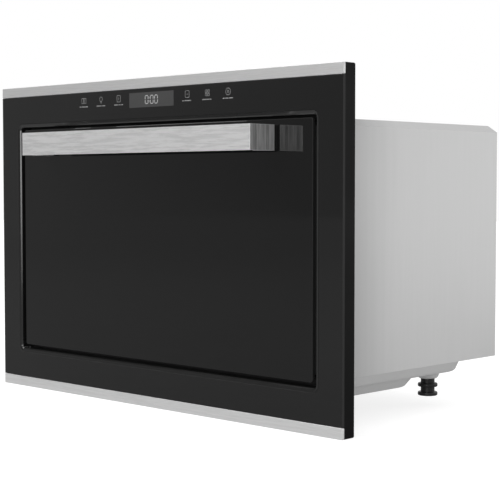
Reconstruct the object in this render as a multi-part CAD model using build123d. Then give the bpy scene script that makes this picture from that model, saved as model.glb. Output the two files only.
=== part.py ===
"""Built-in microwave drawer, 24 inch class.

Millimetres. +X to the right seen from the room, +Y into the cabinet, +Z up.
The origin is on the cabinet's front face (the back of the front frame), at the height of the
shelf that the feet stand on, midway between the sides. The drawer is modelled shut.
"""
from build123d import *
import math
import os

# ---------------------------------------------------------------- overall sizes
frame_width = 606.0
frame_height = 401.6
frame_depth = 20.5
frame_drop = 12.7            # how far the frame hangs below the shelf
body_depth = 303.5           # behind the front frame

# ---------------------------------------------------------------- front frame
frame_corner = 2.0
frame_wall = 2.0
frame_back_wall = 2.5
body_seat = 1.0              # depth of the rebate that the body's front edge sits in
body_seat_clearance = 0.5
frame_inner_wall = 4.5       # round the opening, under the glass edge
frame_back_round = 1.5
frame_post_radius = 4.0      # posts for the screws that hold the frame to the body
frame_post_depth = 10.0
frame_post_bore = 9.0
chassis_screw_radius = 1.9
glass_corner = 0.8
strip_corner = 1.2
glass_thickness = 3.2
strip_height = 13.0
strip_round = 0.5
strip_joint = 0.15           # gap between a strip and the glass
joint_rib = 3.0
opening_side = 39.0          # frame edge to opening, left and right
opening_below = 51.2
opening_above = 53.6
opening_corner = 4.0
trim_bevel = 4.4             # width of the sloped face round the opening
trim_bevel_depth = 0.75
trim_land = 0.3              # flat rim outside the slope
trim_edge = 1.4              # steep edge inside the slope
trim_step = 0.2              # trim face behind the glass face
trim_wall = 1.3
trim_gap = 0.2
trim_stop_gap = 2.0          # drawer tray under the trim's rear lip
glass_edge = 0.4

# ---------------------------------------------------------------- controls
display_width = 80.0
display_height = 18.0
display_above_opening = 26.8
icon_inner = 61.75
icon_pitch = 34.0
icon_centre = 1.75
icon_above_display = 3.3
board_width = 306.0
board_height = 26.0
board_thickness = 1.6
board_corner = 1.5
board_below_display = 1.0
board_screw_inset = 5.0
chip_x = (-52.0, -36.0)
chip_half = 8.0
chip_height = 1.6
socket_x = (60.0, 84.0)
socket_half = 3.0
socket_height = 5.0
display_depth = 6.0
display_corner = 1.0
display_rim = 3.0            # beside the window
display_rim_low = 2.5        # above and below the window
display_window_depth = 0.6
spring_radius = 4.5
spring_wall = 0.8
standoff_radius = 3.0
standoff_bore = 1.25

# ---------------------------------------------------------------- body shell
frame_overlap = 25.0         # frame edge beyond the body, left and right
sheet = 1.0
body_bevel = 8.0
body_below_opening_top = 3.7
side_bottom = 46.3           # lower edge of the side walls above the shelf
flange_width = 12.0
flange_low = 62.0
flange_high = 14.0           # flange end below the bevel
flange_front_less = 3.0      # front flange narrower than the rear one
fixing_radius = 2.25         # holes for the screws into the cabinet's sides
fixing_y = 6.0
fixing_spread = 200.0
rear_screw_low = 16.0        # lowest screw above the flange's end
rear_screw_from_fan = 14.0
rear_screw_from_top = 14.0
rear_screw_above_edge = 7.5
gland_z = 84.0
gland_hole = 8.0
gland_rim = 3.0
gland_round = 1.2
gland_fit = 0.1
gland_barb = 1.2
gland_nose = 10.0            # from the panel's outside
gland_bore = 4.2

# ---------------------------------------------------------------- base pan and feet
step_corner = 40.0
step_edge_round = 6.5
step_inner_round = 2.0       # where the second step leaves the first
step1_drop = 12.9
step1_run = 5.6
step1_inset = 0.5
step1_rear = 48.5            # body back to the end of the first step
step2_ledge = 5.4
step2_run = 10.2
step2_length = 78.0          # shorter than the first step by this
step1_start = -80.0          # both forms begin in front of the body and are cut off there
step2_start = -60.0
seat_height = 21.2           # feet meet the pan here
foot_x = 229.5
foot_front_y = 48.0
foot_from_step = 25.7        # rear feet in front of the first step's end
boss_top_radius = 14.2
boss_shoulder_radius = 13.8
boss_foot_radius = 10.0
boss_round_height = 5.8
boss_round_bulge = 0.42
boss_round_inset = 1.0
foot_post_radius = 8.5
foot_flange_radius = 12.1
foot_base_height = 4.6
foot_collar_low = 10.8
foot_collar_high = 15.3
foot_round = 1.4
stud_radius = 4.0
stud_clearance = 0.06
stud_length = 17.3
stud_embed = 12.0
nut_width = 13.0
nut_height = 6.5
stud_hole = 4.6

# ---------------------------------------------------------------- drawer front
drawer_gap_side = 6.4
drawer_gap_top = 3.5
drawer_gap_bottom = 5.5
drawer_recess = 3.0          # drawer glass behind the frame glass
drawer_glass_thickness = 4.0
drawer_corner = 3.0
tray_inset_side = 1.6
tray_inset_end = 5.5
tray_wall = 2.0
tray_front = 1.5
tray_back = 8.5
tray_corner = 4.0
panel_sheet = 1.0
panel_fit = 0.1
choke_width = 20.0
choke_depth = 15.5
choke_slot = 7.0
choke_slot_pitch = 20.0
choke_slot_depth = 9.0
choke_web = 3.0
cover_thickness = 1.5
cover_margin = 1.0
cover_clearance = 0.2
rail_margin = 1.0
plate_front = 10.8
plate_sheet = 1.2
plate_tab_half = 245.0
bumper_radius = 4.0
bumper_inset = 7.0
bumper_gap = 0.3
bumper_edge = 0.6
bumper_left_shift = 2.0
glass_hole_clearance = 0.6
tray_boss_rim = 2.5          # round the head of a handle screw
tray_boss_height = 3.0
choke_corner_more = 8.0

# ---------------------------------------------------------------- handle
handle_length = 410.0
handle_height = 28.8
handle_reach = 43.0          # handle face in front of the drawer glass
handle_sheet = 3.0
handle_bend = 0.6
handle_below_glass_top = 6.1
handle_spacer = 4.3
spacer_width = 16.0
handle_foot_width = 13.0
handle_foot_depth = 18.0
handle_screw_radius = 2.5
handle_screw_spread = 14.0
handle_screw_head = 4.2
handle_screw_head_height = 2.6
screw_clearance = 0.06
handle_bore_depth = 13.0
handle_screw_grip = 12.0
spacer_shy = 0.3             # spacer smaller than the handle's foot
spacer_corner = 1.0

# ---------------------------------------------------------------- cavity and tub
bay_width = 96.0             # component bay beside the cavity
bay_clearance = 3.0
rail_thickness = 13.0
cavity_roof_space = 62.6
cavity_sheet = 1.0
cavity_corner = 6.0
cavity_rear_space = 22.5
tub_gap = 5.0
tub_wall = 3.0
tub_below_roof = 18.0
tub_rear_gap = 12.0
tub_draft = 1.0
tub_corner = 24.0
tub_floor_round = 9.0
tub_lip = 2.5
tub_lip_height = 4.0
plate_glass_thickness = 5.0
plate_glass_gap = 10.0
plate_glass_corner = 12.0
stand_left = 30.0            # supports under the cavity's rear
stand_right = 70.0
stand_width = 40.0
stand_sheet = 1.2
stand_foot = 10.0
stand_start = 16.0
stand_length = 30.0
lamp_y = 214.0
lamp_z = 226.0
lamp_size = 28.0
lamp_hole_radius = 1.6
lamp_hole_pitch = 6.0
outlet_hole_radius = 2.0
outlet_hole_pitch = 8.0
outlet_from_side = 70.0
outlet_below_roof = 30.0

# ---------------------------------------------------------------- telescopic rails
rail_height = 45.0
rail_centre = 132.0
rail_start = 14.0
rail_end_space = 9.5         # rail end to the body's back
rail_wall = 1.2
rail_web2 = 3.0
rail_lip1 = 8.5
rail_lip2 = 10.5
rail_lip3 = 6.0
ball1 = 3.0
ball2 = 3.7
ball_clearance = 0.05
cage_sheet = 0.8
cage_width = 2.6
balls_per_row = 3
rail_slot_radius = 3.0
rail_spacer_length = 26.0
arm_sheet = 1.2
arm_length = 52.0
arm_foot = 12.0
slot_margin = 3.0            # of the chassis front's openings round the rails
slot_margin_side = 1.5
slot_corner = 2.0

# ---------------------------------------------------------------- interlock
switch_count = 3
switch_pitch = 14.0
switch_start = 24.0
switch_length = 28.0
switch_height = 16.0
switch_width = 10.4
switch_from_bay = 14.0
bracket_sheet = 1.2
bracket_drop = 16.0
striker_height = 222.0
striker_half = 6.0
striker_half_width = 1.6
striker_base = 1.8
striker_reach = 6.0          # behind the chassis front
plunger_radius = 1.8
plunger_gap = 0.3

# ---------------------------------------------------------------- microwave feed
waveguide_height = 30.0
waveguide_width = 80.0
waveguide_sheet = 1.0
waveguide_left = 52.0        # left end beyond the stirrer axis
feed_radius = 36.0
stirrer_shaft_radius = 2.5
shaft_clearance = 0.05
stirrer_radius = 58.0
stirrer_blades = 4
stirrer_sheet = 1.0
stirrer_pitch = 14.0
stirrer_hub_radius = 9.0
stirrer_cover_radius = 72.0
stirrer_cover_depth = 14.0
stirrer_cover_sheet = 1.5
motor_radius = 24.0
motor_height = 16.0
magnetron_width = 86.0
magnetron_depth = 78.0
magnetron_height = 88.0
magnetron_sheet = 1.8
anode_radius = 19.0
fin_count = 6
fin_thickness = 0.8
fin_pitch = 6.0
magnet_radius = 27.0
magnet_height = 11.0
antenna_radius = 7.5
filter_height = 22.0
filter_half_x = 29.0
filter_half_y = 25.0
stirrer_below_roof = 6.0
stirrer_blade_half_angle = 20.0
cover_taper = 6.0

# ---------------------------------------------------------------- power supply
core_width = 66.0
core_depth = 62.0
core_height = 72.0
core_leg = 14.0
core_middle = 20.0
winding_gap = 0.3
winding_bulge = 12.0
can_width = 32.0
can_length = 52.0
can_height = 84.0
terminal_height = 9.0
core_from_bay = 3.0
core_from_foot = 8.0
can_from_bay = 5.0
can_from_step = 30.0
board_above_roof = 7.0
filter_board_height = 5.0

# ---------------------------------------------------------------- cooling fan
fan_size = 92.0
fan_bore = 43.0
fan_ring_depth = 24.0
fan_plate = 2.0
fan_blade_count = 7
fan_hub_radius = 14.0
fan_hub_depth = 16.0
fan_tip_gap = 2.0
fan_blade_thickness = 1.4
fan_blade_pitch = 32.0
fan_shaft_radius = 2.0
fan_motor_size = 46.0
fan_motor_depth = 22.0
fan_height = 214.0
vent_slot_length = 26.0
vent_slot_height = 3.2
vent_pitch = 7.5
vent_gap = 6.0
grille_margin = 3.0
outlet_columns = 3
outlet_inset = 20.0
outlet_drop = 8.0            # outlet's lower end under the cavity's roof
outlet_rise = 44.0
duct_near_half = 38.0
duct_far_half = 43.0
duct_corner = 4.0
duct_wall = 1.5

# ---------------------------------------------------------------- worked-out places
frame_bottom = -frame_drop
frame_top = frame_height - frame_drop
frame_half = frame_width / 2
opening_half = frame_half - opening_side
opening_bottom = frame_bottom + opening_below
opening_top = frame_top - opening_above
frame_front = -frame_depth
glass_back = frame_front + glass_thickness

body_front = -body_seat
body_half = frame_half - frame_overlap
body_inner = body_half - sheet
body_top = opening_top - body_below_opening_top
panel_top = body_top - body_bevel

glass_left = -(opening_half - drawer_gap_side)
glass_right = opening_half - drawer_gap_side
glass_low = opening_bottom + drawer_gap_bottom
glass_high = opening_top - drawer_gap_top
glass_front = frame_front + drawer_recess
tray_front_y = glass_front + drawer_glass_thickness
tray_half = opening_half - drawer_gap_side - tray_inset_side
tray_low = glass_low + tray_inset_end
tray_high = glass_high - tray_inset_end
inner_half = tray_half - tray_wall - panel_fit
inner_low = tray_low + tray_wall + panel_fit
inner_high = tray_high - tray_wall - panel_fit

rail_left = -(tray_half - tray_wall - rail_thickness)          # cavity side of the left rail
cavity_left = rail_left + rail_margin + cover_margin + choke_width
rail_right = body_inner - bay_width - bay_clearance - rail_thickness
cavity_right = rail_right - rail_margin - cover_margin - choke_width
cavity_mid = (cavity_left + cavity_right) / 2
cavity_floor = inner_low + 0.4 + choke_width
cavity_roof = body_top - sheet - cavity_roof_space
plate_back = plate_front + plate_sheet
cavity_back = body_depth - cavity_rear_space - cavity_sheet
cavity_centre_y = (plate_back + cavity_back) / 2
bay_mid = body_inner - bay_width / 2
bay_left = body_inner - bay_width

tub_left = cavity_left + tub_gap
tub_right = cavity_right - tub_gap
tub_floor = cavity_floor + tub_gap
tub_top = cavity_roof - tub_below_roof
tub_back = cavity_back - tub_rear_gap

rail_back = body_depth - rail_end_space
rail_low = rail_centre - rail_height / 2
rail_high = rail_centre + rail_height / 2

step1_top = side_bottom
step1_bottom = step1_top - step1_drop
step1_end = body_depth - step1_rear
step1_half = body_half - step1_inset
step2_half = step1_half - step1_run - step2_ledge
step2_end = step1_end - step2_length
foot_rear_y = step1_end - foot_from_step

handle_front = glass_front - handle_reach
handle_high = glass_high - handle_below_glass_top
handle_low = handle_high - handle_height
handle_mid = (handle_low + handle_high) / 2
handle_half = handle_length / 2
handle_back = glass_front - handle_spacer

display_mid = opening_top + display_above_opening
icon_height = display_mid + icon_above_display
board_front = glass_back + display_depth
board_back = board_front + board_thickness

stirrer_x = cavity_mid
stirrer_y = cavity_centre_y
roof_top = cavity_roof + cavity_sheet
waveguide_top = roof_top + waveguide_height
magnetron_x = bay_mid
magnetron_low = roof_top - magnetron_height
waveguide_right = magnetron_x + magnetron_width / 2 - 3.0

half1 = rail_height / 2
half2 = half1 - rail_wall - ball1 - 2 * ball_clearance
half3 = half2 - rail_wall - ball2 - 2 * ball_clearance

core_start_x = bay_left + core_from_bay
core_start_y = foot_front_y + winding_bulge + core_from_foot
core_x = (core_start_x, core_start_x + core_width)
core_y = (core_start_y, core_start_y + core_depth)
core_z = (seat_height + sheet, seat_height + sheet + core_height)
capacitor_x = bay_left + can_from_bay + can_width / 2
capacitor_y = step2_end + can_from_step
fan_back = body_depth - 2 * sheet       # the shroud hangs on the wrapper's rear flange
gland_x = bay_mid
board_mid = display_mid - board_below_display
board_x = (icon_centre - board_width / 2, icon_centre + board_width / 2)
board_z = (board_mid - board_height / 2, board_mid + board_height / 2)


# ---------------------------------------------------------------- helpers
def front(y):
    """Plane facing the room at depth y, with (x, z) as its own axes."""
    return Plane(origin=(0, y, 0), x_dir=(1, 0, 0), z_dir=(0, -1, 0))


def level(z):
    """Horizontal plane at height z."""
    return Plane(origin=(0, 0, z), x_dir=(1, 0, 0), z_dir=(0, 0, 1))


def side(x):
    """Plane across the body at x, with (y, z) as its own axes."""
    return Plane(origin=(x, 0, 0), x_dir=(0, 1, 0), z_dir=(1, 0, 0))


def area(u, v, radius=0.0):
    """Rectangle between two pairs of limits, with rounded corners if a radius is given."""
    wide = u[1] - u[0]
    tall = v[1] - v[0]
    shape = RectangleRounded(wide, tall, radius) if radius else Rectangle(wide, tall)
    return Pos((u[0] + u[1]) / 2, (v[0] + v[1]) / 2) * shape


def grow(limits, by):
    return (limits[0] - by, limits[1] + by)


def plate(sketch, y):
    """Sketch in (x, z), as thick as the pair of depths y."""
    return extrude(front(y[0]) * sketch, amount=y[1] - y[0], dir=(0, 1, 0))


def slab(sketch, z):
    """Sketch in (x, y), as thick as the pair of heights z."""
    return extrude(level(z[0]) * sketch, amount=z[1] - z[0], dir=(0, 0, 1))


def block(x, y, z):
    centre = Pos((x[0] + x[1]) / 2, (y[0] + y[1]) / 2, (z[0] + z[1]) / 2)
    return centre * Box(x[1] - x[0], y[1] - y[0], z[1] - z[0])


def pattern(sketch, pitch_u, pitch_v, columns, rows):
    """Sketch repeated on a centred grid."""
    return Sketch() + [place * sketch for place in GridLocations(pitch_u, pitch_v, columns, rows)]


def rod_y(radius, x, z, y):
    return plate(Pos(x, z) * Circle(radius), y)


def rod_z(radius, x, y, z):
    return slab(Pos(x, y) * Circle(radius), z)


def rod_x(radius, y, z, x):
    return extrude(side(x[0]) * Pos(y, z) * Circle(radius), amount=x[1] - x[0], dir=(1, 0, 0))


def both_sides(shape):
    """A piece and its mirror image about the cavity's middle."""
    return [shape, mirror(shape, about=Plane.YZ.offset(cavity_mid))]


def pan_screw(x, z, y_seat, direction, head_radius, head_height, shank_radius, length):
    """Round-headed screw along Y; direction is +1 if its shank points into the cabinet."""
    head_end = y_seat - direction * head_height
    shank_end = y_seat + direction * length
    head = rod_y(head_radius, x, z, tuple(sorted((head_end, y_seat))))
    rim = head.faces().sort_by(Axis.Y)[0 if direction > 0 else -1].edges()
    head = fillet(rim, head_height * 0.45)
    return head + rod_y(shank_radius, x, z, tuple(sorted((y_seat, shank_end))))


# ---------------------------------------------------------------- front frame
frame_x = (-frame_half, frame_half)
frame_z = (frame_bottom, frame_top)
opening_x = (-opening_half, opening_half)
opening_z = (opening_bottom, opening_top)
frame_screw_x = body_inner - flange_width / 2 + 2.0
frame_screw_z = [opening_bottom + share * (opening_top - opening_bottom) for share in (0.2, 0.5, 0.8)]


def front_frame():
    wall_out = trim_wall + trim_gap
    outer = plate(area(frame_x, frame_z, frame_corner), (glass_back, 0))
    outer = fillet(outer.faces().sort_by(Axis.Y)[-1].edges(), frame_back_round)
    hole_x = grow(opening_x, wall_out)
    hole_z = grow(opening_z, wall_out)
    pocket = area(grow(frame_x, -frame_wall), grow(frame_z, -frame_wall), frame_corner)
    pocket -= area(grow(hole_x, frame_inner_wall), grow(hole_z, frame_inner_wall), opening_corner + wall_out)
    frame = outer - plate(area(hole_x, hole_z, opening_corner + wall_out), (glass_back - 1, 1))
    frame -= plate(pocket, (glass_back - 1, -frame_back_wall))
    for joint in (frame_bottom + strip_height, frame_top - strip_height):
        rib_z = (joint - joint_rib / 2, joint + joint_rib / 2)
        frame += block(grow(frame_x, -frame_wall), (glass_back, -frame_back_wall), rib_z)
    for x in (-frame_screw_x, frame_screw_x):
        for z in frame_screw_z:
            frame += rod_y(frame_post_radius, x, z, (-frame_post_depth, -frame_back_wall))
            frame -= rod_y(chassis_screw_radius + screw_clearance, x, z, (-frame_post_bore, 1.0))
    for x in board_screw_x():
        for z in board_screw_z():
            frame += rod_y(standoff_radius, x, z, (board_back, -frame_back_wall))
            frame -= rod_y(standoff_bore, x, z, (board_back - 1, board_back + 6))
    rebate = body_section(-body_seat_clearance, seat_height - body_seat_clearance)
    return frame - plate(rebate, (body_front, 1))


def front_glass():
    low = frame_bottom + strip_height + strip_joint
    high = frame_top - strip_height - strip_joint
    hole = trim_bevel + trim_gap
    ring = area(frame_x, (low, high), glass_corner)
    ring -= area(grow(opening_x, hole), grow(opening_z, hole), opening_corner + hole)
    glass = plate(ring, (frame_front, glass_back))
    return chamfer(glass.faces().sort_by(Axis.Y)[0].edges(), glass_edge)


def trim_strips():
    """Two equal metal strips that cap the frame, above and below the glass."""
    strip_z = (frame_bottom, frame_bottom + strip_height - strip_joint)
    low = plate(area(frame_x, strip_z, strip_corner), (frame_front, glass_back))
    low = fillet(low.faces().sort_by(Axis.Y)[0].edges(), strip_round)
    return [low, Pos(0, 0, frame_height - strip_height + strip_joint) * low]


def opening_outline(by):
    return area(grow(opening_x, by), grow(opening_z, by), opening_corner + by)


def opening_trim():
    """Lining of the opening: a sloped lip, a thin wall through the frame and a rear lip along the top."""
    face = frame_front + trim_step
    slope_end = face + trim_bevel_depth
    trim = plate(opening_outline(trim_bevel), (face, glass_back))
    trim += plate(opening_outline(trim_wall), (glass_back, body_front))
    trim -= plate(opening_outline(0), (frame_front - 2, 1))
    for near, far, y in ((trim_bevel - trim_land, trim_edge, (face, slope_end)),
                         (trim_edge, 0, (slope_end, slope_end + trim_edge))):
        trim -= loft([front(y[0]) * opening_outline(near), front(y[1]) * opening_outline(far)], ruled=True)
    rear_lip = plate(opening_outline(trim_wall), (body_front - trim_wall, body_front))
    above_tray = block(frame_x, (frame_front, 0), (tray_high + trim_stop_gap, frame_top))
    return trim + (rear_lip & above_tray)


# ---------------------------------------------------------------- controls
def board_screw_x():
    return grow(board_x, -board_screw_inset)


def board_screw_z():
    return grow(board_z, -board_screw_inset)


def icon_places():
    places = []
    for number in range(3):
        offset = icon_inner + number * icon_pitch
        places += [icon_centre - offset, icon_centre + offset]
    return sorted(places)


def touch_board():
    """Board on the frame's pillars, with its chip and a socket on the back."""
    board = plate(area(board_x, board_z, board_corner), (board_front, board_back))
    for x in board_screw_x():
        for z in board_screw_z():
            board -= rod_y(standoff_bore + 0.3, x, z, (board_front - 1, board_back + 1))
    chip = block(chip_x, (board_back, board_back + chip_height), (board_mid - chip_half, board_mid + chip_half))
    socket_z = (board_mid - socket_half, board_mid + socket_half)
    socket = block(socket_x, (board_back, board_back + socket_height), socket_z)
    return board + chip + socket


def display_module():
    half = display_width / 2
    display_z = (display_mid - display_height / 2, display_mid + display_height / 2)
    body = plate(area((-half, half), display_z, display_corner), (glass_back, board_front))
    window = area(grow((-half, half), -display_rim), grow(display_z, -display_rim_low), glass_corner)
    return body - plate(window, (glass_back - 1, glass_back + display_window_depth))


def touch_springs():
    rings = []
    for x in icon_places():
        spot = Pos(x, icon_height)
        ring = spot * Circle(spring_radius) - spot * Circle(spring_radius - spring_wall)
        rings.append(plate(ring, (glass_back, board_front)))
    return rings


# ---------------------------------------------------------------- body shell
def body_section(inset, low):
    """Outline of the body across X and Z with its two bevelled top corners, drawn in by inset."""
    half = body_half - inset
    high = body_top - inset
    cut = body_bevel - inset * (2 - math.sqrt(2))
    points = [(-half, low), (half, low), (half, high - cut), (half - cut, high), (-half + cut, high),
              (-half, high - cut)]
    return make_face(Polyline(*points, close=True))


def bevelled_body(inset, y, low):
    solid = plate(body_section(inset, low), y)
    rear_top = solid.edges().filter_by(Axis.X).group_by(Axis.Z)[-1].sort_by(Axis.Y)[-1]
    return chamfer(rear_top, body_bevel - inset * (2 - math.sqrt(2)))


def outer_wrapper():
    shell = bevelled_body(0, (body_front, body_depth), side_bottom)
    shell -= bevelled_body(sheet, (-5, body_depth - sheet), side_bottom - 5)
    shell -= block((-body_inner, body_inner), (body_depth - 5, body_depth + 5), (side_bottom - 5, panel_top))
    flange_z = (flange_low, panel_top - flange_high)
    for sign in (-1, 1):
        flange_x = tuple(sorted((sign * body_inner, sign * (body_inner - flange_width))))
        front_x = tuple(sorted((sign * body_inner, sign * (body_inner - flange_width + flange_front_less))))
        shell += block(front_x, (body_front, body_front + sheet), flange_z)
        shell += block(flange_x, (body_depth - 2 * sheet, body_depth - sheet), flange_z)
        for z in frame_screw_z:
            hole_y = grow((body_front, body_front + sheet), 1)
            shell -= rod_y(chassis_screw_radius + screw_clearance, sign * frame_screw_x, z, hole_y)
        for z in cabinet_fixing_z():
            hole_x = tuple(sorted((sign * (body_half + 2), sign * (body_inner - 2))))
            shell -= rod_x(fixing_radius, fixing_y, z, hole_x)
    for x, z in rear_screw_places():
        if z < panel_top - 2 and abs(x) > body_inner - flange_width:
            shell -= rod_y(chassis_screw_radius + screw_clearance, x, z, (body_depth - 3 * sheet, body_depth))
    return shell


def cabinet_fixing_z():
    middle = (opening_bottom + opening_top) / 2
    return (middle - fixing_spread / 2, middle + fixing_spread / 2)


def rear_screw_places():
    x = body_inner - flange_width / 2
    heights = (flange_low + rear_screw_low, fan_height - fan_size / 2 - rear_screw_from_fan,
               panel_top - flange_high - rear_screw_from_top)
    places = [(sign * x, z) for sign in (-1, 1) for z in heights]
    places += [(sign * body_inner * 0.5, side_bottom + rear_screw_above_edge) for sign in (-1, 1)]
    return places


def vent_field(x_limits, z_limits, length):
    """Rows of rounded slots that fill a rectangle."""
    columns = max(1, int((x_limits[1] - x_limits[0] + vent_gap) // (length + vent_gap)))
    rows = max(1, int((z_limits[1] - z_limits[0]) // vent_pitch))
    centre = Pos((x_limits[0] + x_limits[1]) / 2, (z_limits[0] + z_limits[1]) / 2)
    return centre * pattern(SlotOverall(length, vent_slot_height), length + vent_gap, vent_pitch, columns, rows)


def rear_panel():
    flat = area((-body_inner, body_inner), (side_bottom, panel_top))
    panel = plate(flat, (body_depth - sheet, body_depth))
    panel -= plate(Pos(bay_mid, fan_height) * fan_grille(), (body_depth - 2 * sheet, body_depth + 1))
    outlet_start = cavity_left + outlet_inset
    outlet_x = (outlet_start, outlet_start + outlet_columns * (vent_slot_length + vent_gap))
    outlet = vent_field(outlet_x, (cavity_roof - outlet_drop, cavity_roof + outlet_rise), vent_slot_length)
    panel -= plate(outlet, (body_depth - 2 * sheet, body_depth + 1))
    panel -= rod_y(gland_hole, gland_x, gland_z, (body_depth - 2 * sheet, body_depth + 1))
    for x, z in rear_screw_places():
        panel -= rod_y(chassis_screw_radius + screw_clearance, x, z, (body_depth - 2 * sheet, body_depth + 1))
    return panel


def fan_grille():
    """Slots cut to the length that the round fan leaves them."""
    rows = int((2 * fan_bore - 8) // vent_pitch)
    grille = Sketch()
    for row in range(rows):
        height = (row - (rows - 1) / 2) * vent_pitch
        length = 2 * math.sqrt((fan_bore - grille_margin) ** 2 - height ** 2)
        half = (length - vent_gap) / 2
        for sign in (-1, 1):
            grille += Pos(sign * (half + vent_gap) / 2, height) * SlotOverall(half, vent_slot_height)
    return grille


def mains_gland():
    """Snap-in bush for the supply lead, open through its middle."""
    inside = body_depth - sheet
    outside = rod_y(gland_hole + gland_rim, gland_x, gland_z, (body_depth, body_depth + gland_rim))
    outside = fillet(outside.faces().sort_by(Axis.Y)[-1].edges(), gland_round)
    neck = rod_y(gland_hole - gland_fit, gland_x, gland_z, (inside, body_depth))
    nose = rod_y(gland_hole - gland_fit, gland_x, gland_z, (body_depth - gland_nose, inside))
    barb = rod_y(gland_hole + gland_barb, gland_x, gland_z, (inside - 3, inside))
    bore = rod_y(gland_bore, gland_x, gland_z, (body_depth - gland_nose - 2, body_depth + 5))
    return outside + neck + nose + barb - bore


# ---------------------------------------------------------------- base pan and feet
def stepped_form(inset):
    """The two pressed steps below the side walls, drawn in by inset."""
    forms = []
    for half, start, end, top, bottom, run in (
        (step1_half, step1_start, step1_end, step1_top, step1_bottom, step1_run),
        (step2_half, step2_start, step2_end, step1_bottom, seat_height, step2_run),
    ):
        outlines = []
        for height, by in ((bottom, inset + run), (top, inset)):
            outline = area((-half + by, half - by), (start + by, end - by), step_corner - by)
            outlines.append(level(height + inset) * outline)
        form = loft(outlines, ruled=True)
        forms.append(fillet(form.faces().sort_by(Axis.Z)[0].edges(), step_edge_round - inset))
    joined = forms[0] + forms[1]
    return fillet(edges_within(joined, forms[1].faces().sort_by(Axis.Z)[-1]), step_inner_round + inset)


def edges_within(shape, face):
    """Edges of the shape that lie in the bounding box of a flat face."""
    limits = face.bounding_box()
    found = []
    for edge in shape.edges():
        box = edge.bounding_box()
        low = min(box.min.X - limits.min.X, box.min.Y - limits.min.Y, box.min.Z - limits.min.Z)
        high = min(limits.max.X - box.max.X, limits.max.Y - box.max.Y, limits.max.Z - box.max.Z)
        if min(low, high) > -0.001:
            found.append(edge)
    return found


def foot_boss(inset):
    """Dished boss that brings the first step down to the feet's seat."""
    low = seat_height + inset
    high = step1_bottom + inset + 1.0
    shoulder = low + boss_round_height
    outline = Line((0, low), (boss_foot_radius - inset, low))
    outline += ThreePointArc((boss_foot_radius - inset, low),
                             (boss_shoulder_radius - inset - boss_round_inset,
                              low + boss_round_height * boss_round_bulge),
                             (boss_shoulder_radius - inset, shoulder))
    outline += Line((boss_shoulder_radius - inset, shoulder), (boss_top_radius - inset, high))
    outline += Line((boss_top_radius - inset, high), (0, high))
    outline += Line((0, high), (0, low))
    return revolve(Plane.XZ * make_face(outline), Axis.Z)


def foot_places():
    return [("front_left", -foot_x, foot_front_y), ("front_right", foot_x, foot_front_y),
            ("rear_left", -foot_x, foot_rear_y), ("rear_right", foot_x, foot_rear_y)]


def base_pan():
    floor_y = (body_front, body_depth - sheet)
    pan = block((-body_inner, body_inner), floor_y, (side_bottom, side_bottom + sheet))
    pan += stepped_form(0)
    pan -= stepped_form(sheet)
    for name, x, y in foot_places():
        if y > step2_end:
            pan += Pos(x, y, 0) * foot_boss(0)
            pan -= Pos(x, y, 0) * foot_boss(sheet)
    pan &= block((-body_half, body_half), floor_y, (0, side_bottom + sheet))
    pan += stepped_form(0) & block((-body_half, body_half), (body_front, body_front + sheet), (0, side_bottom))
    for sign in (-1, 1):
        edge = tuple(sorted((sign * body_inner, sign * (body_inner - sheet))))
        pan += block(edge, floor_y, (side_bottom + sheet, flange_low - 1))
    rear_flange = block((-body_inner, body_inner), (body_depth - 2 * sheet, body_depth - sheet),
                        (side_bottom + sheet, flange_low - 1))
    pan += rear_flange
    for x, z in rear_screw_places():
        if z < flange_low:
            pan -= rod_y(chassis_screw_radius + screw_clearance, x, z, (body_depth - 3 * sheet, body_depth))
    for name, x, y in foot_places():
        pan -= rod_z(stud_hole, x, y, (seat_height - 1, seat_height + sheet + 1))
    return pan


def foot():
    """Moulded foot with a base flange, a grip collar and a moulded-in stud."""
    profile = area((0, foot_post_radius), (0, seat_height))
    profile += area((0, foot_flange_radius), (0, foot_base_height))
    profile += area((0, foot_flange_radius), (foot_collar_low, foot_collar_high))
    rims = profile.vertices().filter_by(lambda v: abs(v.X - foot_flange_radius) < 0.01)
    profile = fillet(rims, foot_round)
    moulding = revolve(Plane.XZ * profile, Axis.Z)
    embed = (seat_height - stud_embed, seat_height)
    moulding -= rod_z(stud_radius, 0, 0, embed)
    stud = rod_z(stud_radius, 0, 0, (embed[0], seat_height + stud_length))
    return [moulding, stud]


def foot_nuts():
    nuts = []
    base = seat_height + sheet
    for name, x, y in foot_places():
        outline = RegularPolygon(nut_width / 2, 6, major_radius=False) - Circle(stud_radius + stud_clearance)
        nuts.append(slab(Pos(x, y) * outline, (base, base + nut_height)))
    return nuts


# ---------------------------------------------------------------- drawer front
def drawer_glass():
    glass = plate(area((glass_left, glass_right), (glass_low, glass_high), drawer_corner),
                  (glass_front, tray_front_y))
    glass = chamfer(glass.faces().sort_by(Axis.Y)[0].edges(), glass_edge)
    for x, z in handle_screw_places():
        glass -= rod_y(handle_screw_radius + glass_hole_clearance, x, z, (glass_front - 1, tray_front_y + 1))
    return glass


def drawer_tray():
    """Shallow tray that carries the glass and takes the handle's load."""
    outer_x = (-tray_half, tray_half)
    outer_z = (tray_low, tray_high)
    tray = plate(area(outer_x, outer_z, tray_corner), (tray_front_y, tray_back))
    hollow = area(grow(outer_x, -tray_wall), grow(outer_z, -tray_wall), tray_corner - tray_wall)
    tray -= plate(hollow, (tray_front_y + tray_front, tray_back + 1))
    seat = tray_front_y + tray_boss_height
    for x, z in handle_screw_places():
        tray += rod_y(handle_screw_head + tray_boss_rim, x, z, (tray_front_y + tray_front, seat))
        tray -= rod_y(handle_screw_radius + screw_clearance, x, z, (tray_front_y - 1, seat + 1))
    return tray


def choke_limits(by):
    return grow((cavity_left, cavity_right), by), grow((cavity_floor, cavity_roof), by)


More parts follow.
